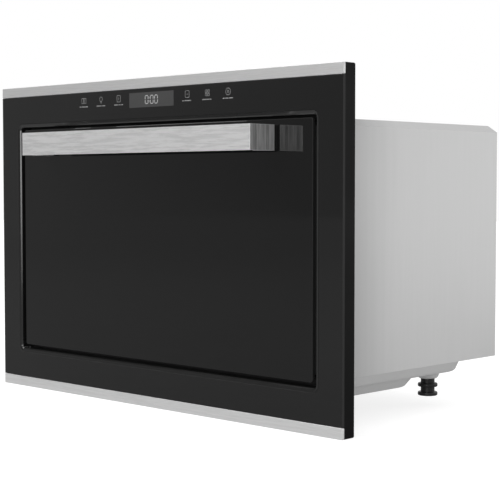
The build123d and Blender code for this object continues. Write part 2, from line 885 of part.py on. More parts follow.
def choke_panel():
    """Pressed back of the drawer front: a flat panel with a quarter-wave groove round the opening."""
    back = (tray_back - panel_sheet, tray_back)
    deep = (tray_back - choke_depth, tray_back)
    outer_x, outer_z = choke_limits(choke_width)
    inner_x, inner_z = choke_limits(-choke_web)
    flat = area((-inner_half, inner_half), (inner_low, inner_high), tray_corner - tray_wall + 0.5)
    panel = plate(flat, back)
    groove_out = area(outer_x, outer_z, cavity_corner + choke_corner_more)
    groove_in = area(inner_x, inner_z, cavity_corner)
    panel -= plate(groove_out - groove_in, (back[0] - 1, back[1] + 1))
    panel += plate(groove_out - offset(groove_out, amount=-panel_sheet), deep)
    comb = plate(groove_in - offset(groove_in, amount=-panel_sheet), deep)
    comb -= choke_slots(groove_in, back[0])
    panel += comb
    panel += plate(groove_out - offset(groove_in, amount=-panel_sheet), (deep[0], deep[0] + panel_sheet))
    return panel


def choke_slots(outline, back):
    """Slots across the inner wall of the groove, evenly spaced along its straight sides."""
    box = outline.bounding_box()
    depth = (back - choke_slot_depth, back)
    cuts = []
    for low, high, along_x in ((box.min.X, box.max.X, True), (box.min.Y, box.max.Y, False)):
        span = high - low - 2 * cavity_corner - choke_slot_pitch
        count = int(span // choke_slot_pitch)
        first = (low + high) / 2 - count * choke_slot_pitch / 2
        for number in range(count + 1):
            at = first + number * choke_slot_pitch
            reach = (at - choke_slot / 2, at + choke_slot / 2)
            near, far = (box.min.Y, box.max.Y) if along_x else (box.min.X, box.max.X)
            for edge, inwards in ((near, 1), (far, -1)):
                across = tuple(sorted((edge - inwards * 1.0, edge + inwards * (panel_sheet + 1.0))))
                cut = area(reach, across) if along_x else area(across, reach)
                cuts.append(plate(cut, depth))
    return cuts


def choke_cover():
    outer_x, outer_z = choke_limits(choke_width + cover_margin - 0.6)
    inner_x, inner_z = choke_limits(cover_clearance - tub_gap)
    ring = area(outer_x, (max(outer_z[0], inner_low + 0.2), outer_z[1]), cavity_corner + choke_corner_more)
    ring -= area(inner_x, inner_z, cavity_corner - 2)
    cover = plate(ring, (tray_back, tray_back + cover_thickness))
    return chamfer(cover.faces().sort_by(Axis.Y)[-1].edges(), 0.5)


def bumpers():
    face = plate_front - bumper_gap
    pads = []
    for x in (-inner_half + bumper_inset - bumper_left_shift, inner_half - bumper_inset):
        for z in (inner_low + bumper_inset, inner_high - bumper_inset):
            pad = rod_y(bumper_radius, x, z, (tray_back, face))
            pads.append(chamfer(pad.faces().sort_by(Axis.Y)[-1].edges(), bumper_edge))
    return pads


# ---------------------------------------------------------------- handle
def handle_screw_places():
    places = []
    for sign in (-1, 1):
        x = sign * (handle_half - handle_sheet - handle_foot_width / 2)
        places += [(x, handle_mid - handle_screw_spread / 2), (x, handle_mid + handle_screw_spread / 2)]
    return places


def handle():
    """Flat bar bent back at both ends, with its two ends closed by welded threaded blocks."""
    ends = (-handle_half, handle_half)
    outline = area(ends, (handle_front, handle_back))
    outline -= area(grow(ends, -handle_sheet), (handle_front + handle_sheet, handle_back + 5))
    bar = slab(outline, (handle_low, handle_high))
    bends = bar.edges().filter_by(Axis.Z).filter_by(lambda e: abs(e.center().Y - handle_front) < 0.01)
    bar = fillet(bends, handle_bend)
    for sign in (-1, 1):
        near = sign * (handle_half - handle_sheet)
        foot_x_limits = tuple(sorted((near, near - sign * handle_foot_width)))
        bar += block(foot_x_limits, (handle_back - handle_foot_depth, handle_back), (handle_low, handle_high))
    for x, z in handle_screw_places():
        bore_y = (handle_back - handle_bore_depth, handle_back + 1)
        bar -= rod_y(handle_screw_radius + screw_clearance, x, z, bore_y)
    return bar


def handle_spacers():
    spacers = []
    for sign in (-1, 1):
        x = tuple(sorted((sign * (handle_half - spacer_shy), sign * (handle_half - spacer_width))))
        outline = area(x, grow((handle_low, handle_high), -spacer_shy), spacer_corner)
        spacer = plate(outline, (handle_back, glass_front))
        for screw_x, z in handle_screw_places():
            if screw_x * sign > 0:
                spacer -= rod_y(handle_screw_radius + 0.4, screw_x, z, (handle_back - 1, glass_front + 1))
        spacers.append(spacer)
    return spacers


def handle_screws():
    seat = tray_front_y + tray_boss_height
    length = seat - handle_back + handle_screw_grip
    return [pan_screw(x, z, seat, -1, handle_screw_head, handle_screw_head_height, handle_screw_radius, length)
            for x, z in handle_screw_places()]


# ---------------------------------------------------------------- cavity, tub and chassis front
def rail_slots():
    """Openings in the chassis front for the moving rails and their arms."""
    slots = []
    beyond = rail_thickness + arm_sheet + slot_margin_side
    for inner, outer in ((rail_left + rail_margin / 2, rail_left - beyond),
                         (rail_right - rail_margin / 2, rail_right + beyond)):
        slots.append(area(tuple(sorted((inner, outer))), grow((rail_low, rail_high), slot_margin), slot_corner))
    return slots


def front_plate():
    section = body_section(sheet, side_bottom + sheet + 0.2)
    section &= area((-body_inner + 1.2, body_inner - 1.2), (0, body_top))
    section += area((-plate_tab_half, plate_tab_half), (seat_height + sheet, side_bottom + sheet + 0.2))
    section -= area((cavity_left, cavity_right), (cavity_floor, cavity_roof), cavity_corner)
    for slot in rail_slots():
        section -= slot
    for x in striker_places():
        section -= area((x - 3.0, x + 3.0), grow(striker_z(), 2.5), 1.0)
    return plate(section, (plate_front, plate_back))


def cavity():
    """Fixed steel oven box, open at the front, with the feed, lamp and outlet holes in its walls."""
    inner = area((cavity_left, cavity_right), (cavity_floor, cavity_roof), cavity_corner)
    outer = offset(inner, amount=cavity_sheet)
    box = plate(outer - inner, (plate_back, cavity_back))
    box += plate(outer, (cavity_back, cavity_back + cavity_sheet))
    box -= rod_z(feed_radius, stirrer_x, stirrer_y, (cavity_roof - 3, roof_top + 2))
    lamp = pattern(Circle(lamp_hole_radius), lamp_hole_pitch, lamp_hole_pitch, 4, 3)
    box -= extrude(side(cavity_right - 3) * Pos(lamp_y, lamp_z) * lamp, amount=8, dir=(1, 0, 0))
    outlet = pattern(Circle(outlet_hole_radius), outlet_hole_pitch, outlet_hole_pitch, 9, 3)
    outlet_place = Pos(cavity_left + outlet_from_side, cavity_roof - outlet_below_roof)
    box -= plate(outlet_place * outlet, (cavity_back - 2, cavity_back + 3))
    return box


def cavity_stands():
    """Two folded supports between the base pan and the rear of the cavity's floor."""
    low = step1_bottom + sheet
    high = cavity_floor - cavity_sheet
    stands = []
    y = (step2_end + stand_start, step2_end + stand_start + stand_length)
    for start in (cavity_left + stand_left, cavity_right - stand_right):
        x = (start, start + stand_width)
        inside = grow(x, -stand_sheet)
        section = area(x, (low, high)) - area(inside, (low - 1, high - stand_sheet))
        for foot_limits in ((x[0] - stand_foot, inside[0]), (inside[1], x[1] + stand_foot)):
            section += area(foot_limits, (low, low + stand_sheet))
        stands.append(plate(section, y))
    return stands


def tub_shape(inset, low):
    """Tub volume with draft, drawn in by inset from the outside, down to the height low."""
    lean = (tub_top - low) * math.tan(math.radians(tub_draft))
    x = grow((tub_left, tub_right), -inset)
    y = (tray_back + inset, tub_back - inset)
    top = level(tub_top) * area(x, y, tub_corner - inset)
    bottom = level(low) * area(grow(x, -lean), grow(y, -lean), tub_corner - inset)
    solid = loft([bottom, top], ruled=True)
    return fillet(solid.faces().sort_by(Axis.Z)[0].edges(), tub_floor_round - inset)


def tub():
    """Moulded tub, open on top, with a rolled lip and a flat flange behind the drawer front."""
    shell = tub_shape(0, tub_floor)
    lip = area(grow((tub_left, tub_right), tub_lip), (tray_back - 40, tub_back + tub_lip), tub_corner)
    lip &= area(grow((tub_left, tub_right), tub_lip), (tray_back + cover_thickness + 1, tub_back + tub_lip))
    shell += slab(lip, (tub_top - tub_lip_height, tub_top))
    flange = area((tub_left, tub_right), (tub_floor, tub_top), cavity_corner)
    shell += plate(flange, (tray_back, tray_back + tub_wall))
    hollow = tub_shape(tub_wall, tub_floor + tub_wall)
    return shell - hollow


def floor_plate():
    lean = (tub_top - tub_floor) * math.tan(math.radians(tub_draft))
    inset = tub_wall + plate_glass_gap + lean
    x = grow((tub_left, tub_right), -inset)
    y = (tray_back + inset, tub_back - inset)
    low = tub_floor + tub_wall
    plate_glass = slab(area(x, y, plate_glass_corner), (low, low + plate_glass_thickness))
    return chamfer(plate_glass.faces().sort_by(Axis.Z)[-1].edges(), 0.8)


# ---------------------------------------------------------------- telescopic rails
def channel(u, half, web_at_start):
    """C-shaped rolled section; u are its limits across the rail, half its half height."""
    solid = area(u, (-half, half), 0.9)
    if web_at_start:
        return solid - area((u[0] + rail_wall, u[1] + 2), (-half + rail_wall, half - rail_wall))
    return solid - area((u[0] - 2, u[1] - rail_wall), (-half + rail_wall, half - rail_wall))


def rail_member(section, web, y, slot_count):
    """Length of rolled section on the right rail, with slots punched through its web."""
    member = plate(Pos(rail_right, rail_centre) * section, y)
    length = y[1] - y[0]
    for number in range(slot_count):
        at = y[0] + length * (number + 0.5) / slot_count
        slot = side(rail_right + web[0] - 1) * Pos(at, rail_centre) * SlotOverall(18.0, 2 * rail_slot_radius)
        member -= extrude(slot, amount=web[1] - web[0] + 2, dir=(1, 0, 0))
    return member


def outer_rails():
    section = channel((0, rail_lip1), half1, True)
    return both_sides(rail_member(section, (0, rail_wall), (rail_start, rail_back), 5))


def middle_rails():
    section = channel((rail_web2, rail_lip2), half2, True)
    web = (rail_web2, rail_web2 + rail_wall)
    return both_sides(rail_member(section, web, (rail_start, rail_back), 6))


def inner_rails():
    section = channel((rail_lip3, rail_thickness), half3, False)
    web = (rail_thickness - rail_wall, rail_thickness)
    return both_sides(rail_member(section, web, (rail_start, rail_back), 7))


def ball_cage(u, ball, v, y):
    """Strip of balls held in a thin cage, above and below the rail's middle."""
    strips = []
    for sign in (-1, 1):
        centre = sign * v
        strip = area(grow((u, u), cage_width / 2), grow((centre, centre), cage_sheet / 2))
        cage = plate(Pos(rail_right, rail_centre) * strip, y)
        for number in range(balls_per_row):
            at = y[0] + 4 + (y[1] - y[0] - 8) * number / (balls_per_row - 1)
            cage += Pos(rail_right + u, at, rail_centre + centre) * Sphere(ball / 2)
        strips += both_sides(cage)
    return strips


def outer_ball_cages():
    u = (rail_web2 + rail_wall + rail_lip1) / 2
    return ball_cage(u, ball1, half2 + ball_clearance + ball1 / 2, (rail_start + 10, rail_start + 110))


def inner_ball_cages():
    u = (rail_lip3 + rail_lip2) / 2
    return ball_cage(u, ball2, half3 + ball_clearance + ball2 / 2, (rail_start + 10, rail_start + 110))


def rail_spacers():
    """Hat-shaped brackets that hold the outer rails off the cavity's sides."""
    spacers = []
    inner = cavity_right + cavity_sheet
    for at in (rail_start + 20, rail_back - 20 - rail_spacer_length):
        y = (at, at + rail_spacer_length)
        hat = area((inner, rail_right), (rail_low + 6, rail_high - 6))
        hat -= area((inner - 1, rail_right - 1.5), (rail_low + 7.5, rail_high - 7.5))
        foot_low = area((inner, inner + 1.5), (rail_low - 3, rail_low + 6))
        foot_high = area((inner, inner + 1.5), (rail_high - 6, rail_high + 3))
        spacers += both_sides(plate(hat + foot_low + foot_high, y))
    return spacers


def rail_arms():
    """Angle brackets from the inner rails to the drawer front."""
    x = rail_right + rail_thickness
    arm_y = (tray_back, rail_start + arm_length)
    arm = block((x, x + arm_sheet), arm_y, (rail_centre - half3, rail_centre + half3))
    foot_z = (rail_low + 2, rail_high - 2)
    arm += block((x + arm_sheet - arm_foot, x + arm_sheet), (tray_back, tray_back + arm_sheet), foot_z)
    return both_sides(arm)


# ---------------------------------------------------------------- interlock
def striker_places():
    first = bay_left + switch_from_bay
    return [first + number * switch_pitch for number in range(switch_count)]


def striker_z():
    return (striker_height - striker_half, striker_height + striker_half)


def interlock_strikers():
    """Moulded fingers on the drawer that press the door switches when it is shut."""
    places = striker_places()
    base_x = (places[0] - 7.0, places[-1] + 7.0)
    base_back = tray_back + striker_base
    strikers = plate(area(base_x, grow(striker_z(), 6.0), 2.0), (tray_back, base_back))
    for x in places:
        finger_x = (x - striker_half_width, x + striker_half_width)
        strikers += block(finger_x, (base_back, plate_back + striker_reach), striker_z())
    return strikers


def interlock_plungers():
    tip = plate_back + striker_reach + plunger_gap
    plungers = []
    for x in striker_places():
        plunger = rod_y(plunger_radius, x, striker_height, (tip, switch_start + 5.0))
        plungers.append(chamfer(plunger.faces().sort_by(Axis.Y)[0].edges(), 0.5))
    return plungers


def interlock_switches():
    switches = []
    for x in striker_places():
        body = block((x - switch_width / 2, x + switch_width / 2), (switch_start, switch_start + switch_length),
                     (striker_height - switch_height / 2, striker_height + switch_height / 2))
        body -= rod_y(plunger_radius + shaft_clearance, x, striker_height, (switch_start - 1, switch_start + 6.0))
        for z in (-4.5, 4.5):
            tab = area((x - 0.4, x + 0.4), (striker_height + z - 2.4, striker_height + z + 2.4))
            body += plate(tab, (switch_start + switch_length, switch_start + switch_length + 7.0))
        switches.append(body)
    return switches


def interlock_bracket():
    """Folded bracket on the back of the chassis front, with a shelf under the switches."""
    places = striker_places()
    x = (places[0] - switch_width / 2 - 1.0, places[-1] + switch_width / 2 + 1.0)
    low = striker_height - switch_height / 2
    shelf = block(x, (plate_back, switch_start + switch_length), (low - bracket_sheet, low))
    back = block(x, (plate_back, plate_back + bracket_sheet), (low - bracket_drop, low - bracket_sheet))
    return shelf + back


# ---------------------------------------------------------------- microwave feed
def waveguide():
    x = (stirrer_x - waveguide_left, waveguide_right)
    y = (stirrer_y - waveguide_width / 2, stirrer_y + waveguide_width / 2)
    z = (roof_top, waveguide_top)
    duct = block(x, y, z) - block(grow(x, -waveguide_sheet), grow(y, -waveguide_sheet), grow(z, -waveguide_sheet))
    duct -= rod_z(feed_radius, stirrer_x, stirrer_y, (roof_top - 1, roof_top + 2))
    duct -= rod_z(antenna_radius + 2.5, magnetron_x, stirrer_y, (roof_top - 1, roof_top + 2))
    shaft_hole = stirrer_shaft_radius + shaft_clearance
    duct -= rod_z(shaft_hole, stirrer_x, stirrer_y, (waveguide_top - 2, waveguide_top + 1))
    return duct


def stirrer():
    """Field stirrer: a hub on a plastic shaft with blades bent up and down in turn."""
    plane = cavity_roof - stirrer_below_roof
    hub = rod_z(stirrer_hub_radius, stirrer_x, stirrer_y, (plane - 2.0, plane + 3.0))
    shaft_top = waveguide_top + 5.0
    piece = hub + rod_z(stirrer_shaft_radius, stirrer_x, stirrer_y, (plane + 3.0, shaft_top))
    for number in range(stirrer_blades):
        tilt = stirrer_pitch if number % 2 else -stirrer_pitch
        half_angle = math.radians(stirrer_blade_half_angle)
        inner = stirrer_hub_radius - 3.0
        outline = Polyline((inner, -4), (stirrer_radius, -stirrer_radius * math.sin(half_angle)),
                           (stirrer_radius, stirrer_radius * math.sin(half_angle)), (inner, 4), close=True)
        blade = extrude(make_face(outline), amount=stirrer_sheet / 2, both=True)
        blade = Rot(Z=360.0 * number / stirrer_blades) * (Rot(X=tilt * 0.5) * blade)
        piece += Pos(stirrer_x, stirrer_y, plane + 0.5) * blade
    return piece


def stirrer_cover():
    """Shallow moulded dish under the stirrer, hung from the cavity roof."""
    low = cavity_roof - stirrer_cover_depth
    small = stirrer_cover_radius - cover_taper
    outer = Cone(small, stirrer_cover_radius, stirrer_cover_depth)
    inner = Cone(small - stirrer_cover_sheet, stirrer_cover_radius - stirrer_cover_sheet, stirrer_cover_depth)
    dish = Pos(0, 0, low + stirrer_cover_depth / 2) * outer
    dish -= Pos(0, 0, low + stirrer_cover_depth / 2 + stirrer_cover_sheet) * inner
    rim = Circle(stirrer_cover_radius + 6.0) - Circle(stirrer_cover_radius - stirrer_cover_sheet)
    dish += slab(rim, (cavity_roof - stirrer_cover_sheet, cavity_roof))
    dish &= rod_z(stirrer_cover_radius + 7.0, 0, 0, (low, cavity_roof))
    return Pos(stirrer_x, stirrer_y, 0) * dish


def stirrer_motor():
    base = waveguide_top
    motor = rod_z(motor_radius, stirrer_x, stirrer_y, (base, base + motor_height))
    motor = fillet(motor.faces().sort_by(Axis.Z)[-1].edges(), 2.0)
    ears = slab(Pos(stirrer_x, stirrer_y) * SlotOverall(2 * motor_radius + 18, 12.0), (base, base + 1.5))
    socket = block((stirrer_x - 7, stirrer_x + 7), (stirrer_y + motor_radius - 3, stirrer_y + motor_radius + 6),
                   (base + 2.0, base + 11.0))
    bore = rod_z(stirrer_shaft_radius + shaft_clearance, stirrer_x, stirrer_y, (base - 1, base + 7.0))
    return motor + ears + socket - bore


def magnetron_yoke():
    """Open steel frame round the magnetron, with the filter box under it."""
    x = (magnetron_x - magnetron_width / 2, magnetron_x + magnetron_width / 2)
    y = (stirrer_y - magnetron_depth / 2, stirrer_y + magnetron_depth / 2)
    z = (magnetron_low, roof_top)
    frame = block(x, y, z)
    frame -= block(grow(x, -magnetron_sheet), grow(y, 2), grow(z, -magnetron_sheet))
    frame -= rod_z(antenna_radius + 1.0, magnetron_x, stirrer_y, (roof_top - 3, roof_top + 1))
    frame -= rod_z(antenna_radius + 1.0, magnetron_x, stirrer_y, (magnetron_low - 1, magnetron_low + 3))
    filter_x = (magnetron_x - filter_half_x, magnetron_x + filter_half_x)
    filter_y = (stirrer_y - filter_half_y, stirrer_y + filter_half_y)
    lid = block(filter_x, filter_y, (magnetron_low - filter_height, magnetron_low))
    lid -= block(grow(filter_x, -1), grow(filter_y, -1), (magnetron_low - filter_height + 1, magnetron_low + 1))
    connector = block((magnetron_x - 10, magnetron_x + 10), (filter_y[0] - 9, filter_y[0]),
                      (magnetron_low - 16, magnetron_low - 6))
    return frame + lid + connector


def magnetron_anode():
    """Anode block with its pressed-on cooling fins and the antenna that reaches into the waveguide."""
    inside = (magnetron_low + magnetron_sheet, roof_top - magnetron_sheet)
    magnets = inside[0] + magnet_height, inside[1] - magnet_height
    body = rod_z(anode_radius, magnetron_x, stirrer_y, magnets)
    fin_x = (magnetron_x - magnetron_width / 2 + magnetron_sheet + 0.3, magnetron_x + magnetron_width / 2
             - magnetron_sheet - 0.3)
    fin_y = (stirrer_y - magnetron_depth / 2 + 4, stirrer_y + magnetron_depth / 2 - 4)
    middle = (inside[0] + inside[1]) / 2
    for number in range(fin_count):
        z = middle + (number - (fin_count - 1) / 2) * fin_pitch
        body += slab(area(fin_x, fin_y, 2.0), (z - fin_thickness / 2, z + fin_thickness / 2))
    body += rod_z(antenna_radius, magnetron_x, stirrer_y, (magnets[1], roof_top + waveguide_height - 9.0))
    return body


def magnetron_magnets():
    inside = (magnetron_low + magnetron_sheet, roof_top - magnetron_sheet)
    ring = Circle(magnet_radius) - Circle(antenna_radius + 0.4)
    spot = Pos(magnetron_x, stirrer_y)
    return [slab(spot * ring, (inside[0], inside[0] + magnet_height)),
            slab(spot * ring, (inside[1] - magnet_height, inside[1]))]


# ---------------------------------------------------------------- power supply
def transformer_core():
    """Laminated core with two windows, on a thin mounting plate."""
    core = block(core_x, core_y, core_z)
    for window in core_windows():
        core -= block(window, grow(core_y, 1), (core_z[0] + core_leg, core_z[1] - core_leg))
    return core


def core_windows():
    middle = (core_x[0] + core_x[1]) / 2
    return [(core_x[0] + core_leg, middle - core_middle / 2), (middle + core_middle / 2, core_x[1] - core_leg)]


def transformer_windings():
    """Primary and secondary coils, one above the other on the middle leg."""
    middle = (core_x[0] + core_x[1]) / 2
    window_z = (core_z[0] + core_leg, core_z[1] - core_leg)
    split = (window_z[0] + window_z[1]) / 2
    reach = core_windows()[1][1] - middle - winding_gap
    leg = core_middle / 2 + winding_gap
    coils = []
    for z in ((window_z[0] + winding_gap, split - 1.5), (split + 1.5, window_z[1] - winding_gap)):
        ring = area((middle - reach, middle + reach), grow(core_y, winding_bulge), 9.0)
        ring -= area((middle - leg, middle + leg), grow(core_y, winding_gap))
        coils.append(slab(ring, z))
    return coils


def capacitor():
    low = step1_bottom + sheet
    can = slab(Pos(capacitor_x, capacitor_y) * Rot(0, 0, 90) * SlotOverall(can_length, can_width),
               (low, low + can_height))
    can = fillet(can.faces().sort_by(Axis.Z)[-1].edges(), 2.0)
    for offset_y in (-11.0, 11.0):
        can += rod_z(3.6, capacitor_x, capacitor_y + offset_y, (low + can_height, low + can_height + 4.0))
        can += block((capacitor_x - 3.1, capacitor_x + 3.1), grow((capacitor_y + offset_y,) * 2, 0.4),
                     (low + can_height + 4.0, low + can_height + terminal_height))
    return can


def capacitor_clamp():
    low = step1_bottom + sheet
    outline = SlotOverall(can_length + 2.4, can_width + 2.4) - SlotOverall(can_length, can_width)
    band = slab(Pos(capacitor_x, capacitor_y) * Rot(0, 0, 90) * outline, (low + 24, low + 40))
    tab_y = capacitor_y + can_length / 2
    band += block((capacitor_x - 8, capacitor_x + 8), (tab_y + 0.4, tab_y + 1.6), (low, low + 40))
    band += block((capacitor_x - 8, capacitor_x + 8), (tab_y + 1.6, tab_y + 10), (low, low + 1.2))
    return band


def power_board():
    """Control and relay board on posts over the cavity roof."""
    x = (cavity_left + 16, cavity_left + 116)
    y = (60.0, 60.0 + 0.5 * (cavity_back - plate_back))
    low = roof_top + board_above_roof
    board = slab(area(x, y, 2.0), (low, low + board_thickness))
    top = low + board_thickness
    for number in range(4):
        at = y[0] + 10 + number * (y[1] - y[0] - 30) / 4
        board += block((x[0] + 8, x[0] + 26), (at, at + 14), (top, top + 16))
    board += block((x[1] - 44, x[1] - 8), (y[0] + 12, y[0] + 46), (top, top + 26))
    for number in range(3):
        board += rod_z(5.0, x[1] - 16 - 14 * number, y[1] - 18, (top, top + 18))
    for post_x in grow(x, -5.0):
        for post_y in grow(y, -5.0):
            board += rod_z(3.0, post_x, post_y, (roof_top, low))
    return board


def noise_filter():
    """Mains filter board with its choke ring, beside the gland."""
    x = (bay_left + 12, bay_left + 74)
    y = (step1_end + 8, body_depth - 14)
    low = side_bottom + sheet
    seat = low + filter_board_height
    top = seat + board_thickness
    board = slab(area(x, y, 2.0), (seat, top))
    ring = Circle(11.0) - Circle(5.0)
    board += slab(Pos(x[0] + 17, (y[0] + y[1]) / 2) * ring, (top, top + 10))
    board += block((x[1] - 24, x[1] - 8), grow(((y[0] + y[1]) / 2,) * 2, 12.0), (top, top + 14))
    for post_x in grow(x, -5.0):
        for post_y in grow(y, -5.0):
            board += rod_z(2.6, post_x, post_y, (low, seat))
    return board


def cavity_lamp():
    x = (cavity_right + cavity_sheet, cavity_right + cavity_sheet + 12.0)
    half = lamp_size / 2
    lamp = block(x, (lamp_y - half, lamp_y + half), (lamp_z - half * 0.8, lamp_z + half * 0.8))
    lamp -= block((x[0] - 1, x[0] + 6.0), (lamp_y - half + 2, lamp_y + half - 2),
                  (lamp_z - half * 0.8 + 2, lamp_z + half * 0.8 - 2))
    return lamp + block((x[1], x[1] + 6), (lamp_y - 5, lamp_y + 5), (lamp_z - 4, lamp_z + 4))


def thermal_cutouts():
    """Two disc thermostats, one on the magnetron's yoke and one on the cavity's roof."""
    cutouts = []
    flange = SlotOverall(30.0, 9.0)
    at_roof = Pos(cavity_right - 26, cavity_back - 40)
    disc = slab(at_roof * Circle(8.0), (roof_top + 1.0, roof_top + 9.0))
    disc += slab(at_roof * flange, (roof_top, roof_top + 1.0))
    cutouts.append(disc)
    yoke_front = magnetron_x - magnetron_width / 2
    height = magnetron_low + magnetron_height * 0.5
    plane = Plane(origin=(yoke_front, stirrer_y, height), x_dir=(0, 1, 0), z_dir=(-1, 0, 0))
    cutouts.append(extrude(plane * flange, amount=1.0) + extrude(plane.offset(1.0) * Circle(7.0), amount=2.4))
    return cutouts


# ---------------------------------------------------------------- cooling fan
def fan_shroud():
    """Square plate on the rear panel with a ring round the blades and three motor struts."""
    half = fan_size / 2
    centre = Pos(bay_mid, fan_height)
    square = centre * RectangleRounded(fan_size, fan_size, 5.0)
    shroud = plate(square - centre * Circle(fan_bore), (fan_back - fan_plate, fan_back))
    ring = centre * Circle(fan_bore + 2.0) - centre * Circle(fan_bore)
    shroud += plate(ring, (fan_back - fan_ring_depth, fan_back - fan_plate))
    strut_y = (fan_back - fan_ring_depth, fan_back - fan_ring_depth + 3.0)
    for number in range(3):
        strut = Rot(0, 0, 90 + 120 * number) * Pos(fan_bore / 2 + 5, 0) * Rectangle(fan_bore - 7, 5.0)
        shroud += plate(centre * strut, strut_y)
    shroud += plate(centre * Circle(14.0), strut_y)
    shroud -= plate(centre * Circle(fan_shaft_radius + 0.6), grow(strut_y, 1))
    return shroud


def fan_impeller():
    """Seven swept, twisted blades on a hub, on the motor's shaft."""
    hub_y = (fan_back - 2.5 - fan_hub_depth, fan_back - 2.5)
    centre = Pos(bay_mid, fan_height)
    hub = plate(centre * Circle(fan_hub_radius), hub_y)
    hub = fillet(hub.faces().sort_by(Axis.Y)[-1].edges(), 2.5)
    middle = (hub_y[0] + hub_y[1]) / 2
    reach = fan_bore - fan_tip_gap
    for number in range(fan_blade_count):
        hub += Pos(bay_mid, middle, fan_height) * (Rot(Y=360.0 * number / fan_blade_count) * fan_blade(reach))
    shaft = rod_y(fan_shaft_radius, bay_mid, fan_height,
                  (fan_back - fan_ring_depth - fan_motor_depth + 6.0, hub_y[0]))
    return hub + shaft


def fan_blade(reach):
    """One blade lofted out along X, its pitch easing from root to tip."""
    sections = []
    for distance, chord, pitch in ((fan_hub_radius - 2.0, 15.0, fan_blade_pitch + 12.0),
                                   ((fan_hub_radius + reach) / 2, 19.0, fan_blade_pitch),
                                   (reach, 21.0, fan_blade_pitch - 9.0)):
        plane = Plane(origin=(distance, 0, 0), x_dir=(0, 0, 1), z_dir=(1, 0, 0))
        sections.append(plane * Rot(0, 0, pitch) * SlotOverall(chord, fan_blade_thickness))
    return loft(sections)


def fan_motor():
    """Shaded-pole motor: a laminated stack with its coil to one side."""
    y = (fan_back - fan_ring_depth - fan_motor_depth, fan_back - fan_ring_depth)
    centre = Pos(bay_mid, fan_height)
    stack = plate(centre * RectangleRounded(fan_motor_size, fan_motor_size, 4.0), (y[0] + 4, y[1] - 4))
    can = plate(centre * Circle(fan_motor_size * 0.3), y)
    coil_place = centre * Pos(0, -fan_motor_size / 2 - 6)
    coil = plate(coil_place * RectangleRounded(26.0, 12.0, 3.0), (y[0] + 1, y[1] - 1))
    bore = rod_y(fan_shaft_radius + shaft_clearance, bay_mid, fan_height, (y[0] + 5.0, y[1] + 1))
    return stack + can + coil - bore


def air_duct():
    """Tapered duct from the fan to the magnetron's fins."""
    y = (stirrer_y + magnetron_depth / 2, fan_back - fan_ring_depth)
    near_z = magnetron_low + magnetron_height / 2
    near = area(grow((bay_mid, bay_mid), duct_near_half), grow((near_z, near_z), duct_near_half), duct_corner)
    far = area(grow((bay_mid, bay_mid), duct_far_half), grow((fan_height, fan_height), duct_far_half), duct_corner)
    ends = [front(y[0]) * offset(near, amount=duct_wall), front(y[1]) * offset(far, amount=duct_wall)]
    outer = loft(ends, ruled=True)
    inner = loft([front(y[0] - 0.01) * near, front(y[1] + 0.01) * far], ruled=True)
    return outer - inner


# ---------------------------------------------------------------- screws
def chassis_screws():
    """Screws of the rear panel, the front frame and the touch board."""
    shank = chassis_screw_radius
    screws = [pan_screw(x, z, body_depth, -1, 3.8, 1.8, shank, 6.0) for x, z in rear_screw_places()]
    for x in (-frame_screw_x, frame_screw_x):
        screws += [pan_screw(x, z, body_front + sheet, -1, 3.4, 1.8, shank, 8.5) for z in frame_screw_z]
    for x in board_screw_x():
        screws += [pan_screw(x, z, board_front, 1, 2.4, 1.6, 1.2, 6.0) for z in board_screw_z()]
    return screws


# ---------------------------------------------------------------- all nodes
def nodes():
    found = {
        "front_frame": front_frame(),
        "front_glass": front_glass(),
        "trim_strips": trim_strips(),
        "opening_trim": opening_trim(),
        "touch_board": touch_board(),
        "display_module": display_module(),
        "touch_springs": touch_springs(),
        "outer_wrapper": outer_wrapper(),
        "rear_panel": rear_panel(),
        "mains_gland": mains_gland(),
        "base_pan": base_pan(),
        "foot_nuts": foot_nuts(),
        "drawer_glass": drawer_glass(),
        "drawer_tray": drawer_tray(),
        "choke_panel": choke_panel(),
        "choke_cover": choke_cover(),
        "bumpers": bumpers(),
        "handle": handle(),
        "handle_spacers": handle_spacers(),
        "handle_screws": handle_screws(),
        "front_plate": front_plate(),
        "cavity": cavity(),
        "cavity_stands": cavity_stands(),
        "tub": tub(),
        "floor_plate": floor_plate(),
        "outer_rails": outer_rails(),
        "middle_rails": middle_rails(),
        "inner_rails": inner_rails(),
        "outer_ball_cages": outer_ball_cages(),
        "inner_ball_cages": inner_ball_cages(),
        "rail_spacers": rail_spacers(),
        "rail_arms": rail_arms(),
        "interlock_strikers": interlock_strikers(),
        "interlock_plungers": interlock_plungers(),
        "interlock_switches": interlock_switches(),
        "interlock_bracket": interlock_bracket(),
        "waveguide": waveguide(),
        "stirrer": stirrer(),
        "stirrer_cover": stirrer_cover(),
        "stirrer_motor": stirrer_motor(),
        "magnetron_yoke": magnetron_yoke(),
        "magnetron_anode": magnetron_anode(),
        "magnetron_magnets": magnetron_magnets(),
        "transformer_core": transformer_core(),
        "transformer_windings": transformer_windings(),
        "capacitor": capacitor(),
        "capacitor_clamp": capacitor_clamp(),
        "power_board": power_board(),
        "noise_filter": noise_filter(),
        "cavity_lamp": cavity_lamp(),
        "thermal_cutouts": thermal_cutouts(),
        "fan_shroud": fan_shroud(),
        "fan_impeller": fan_impeller(),
        "fan_motor": fan_motor(),
        "air_duct": air_duct(),
        "chassis_screws": chassis_screws(),
    }
    for name, x, y in foot_places():
        found[name + "_foot"] = [Pos(x, y, 0) * piece for piece in foot()]
    return found


os.makedirs("parts", exist_ok=True)
for name, shape in nodes().items():
    pieces = shape if isinstance(shape, list) else [shape]
    solids = [solid for piece in pieces for solid in piece.solids()]
    export_step(Compound(children=solids), f"parts/{name}.step")
    print(name, len(solids))
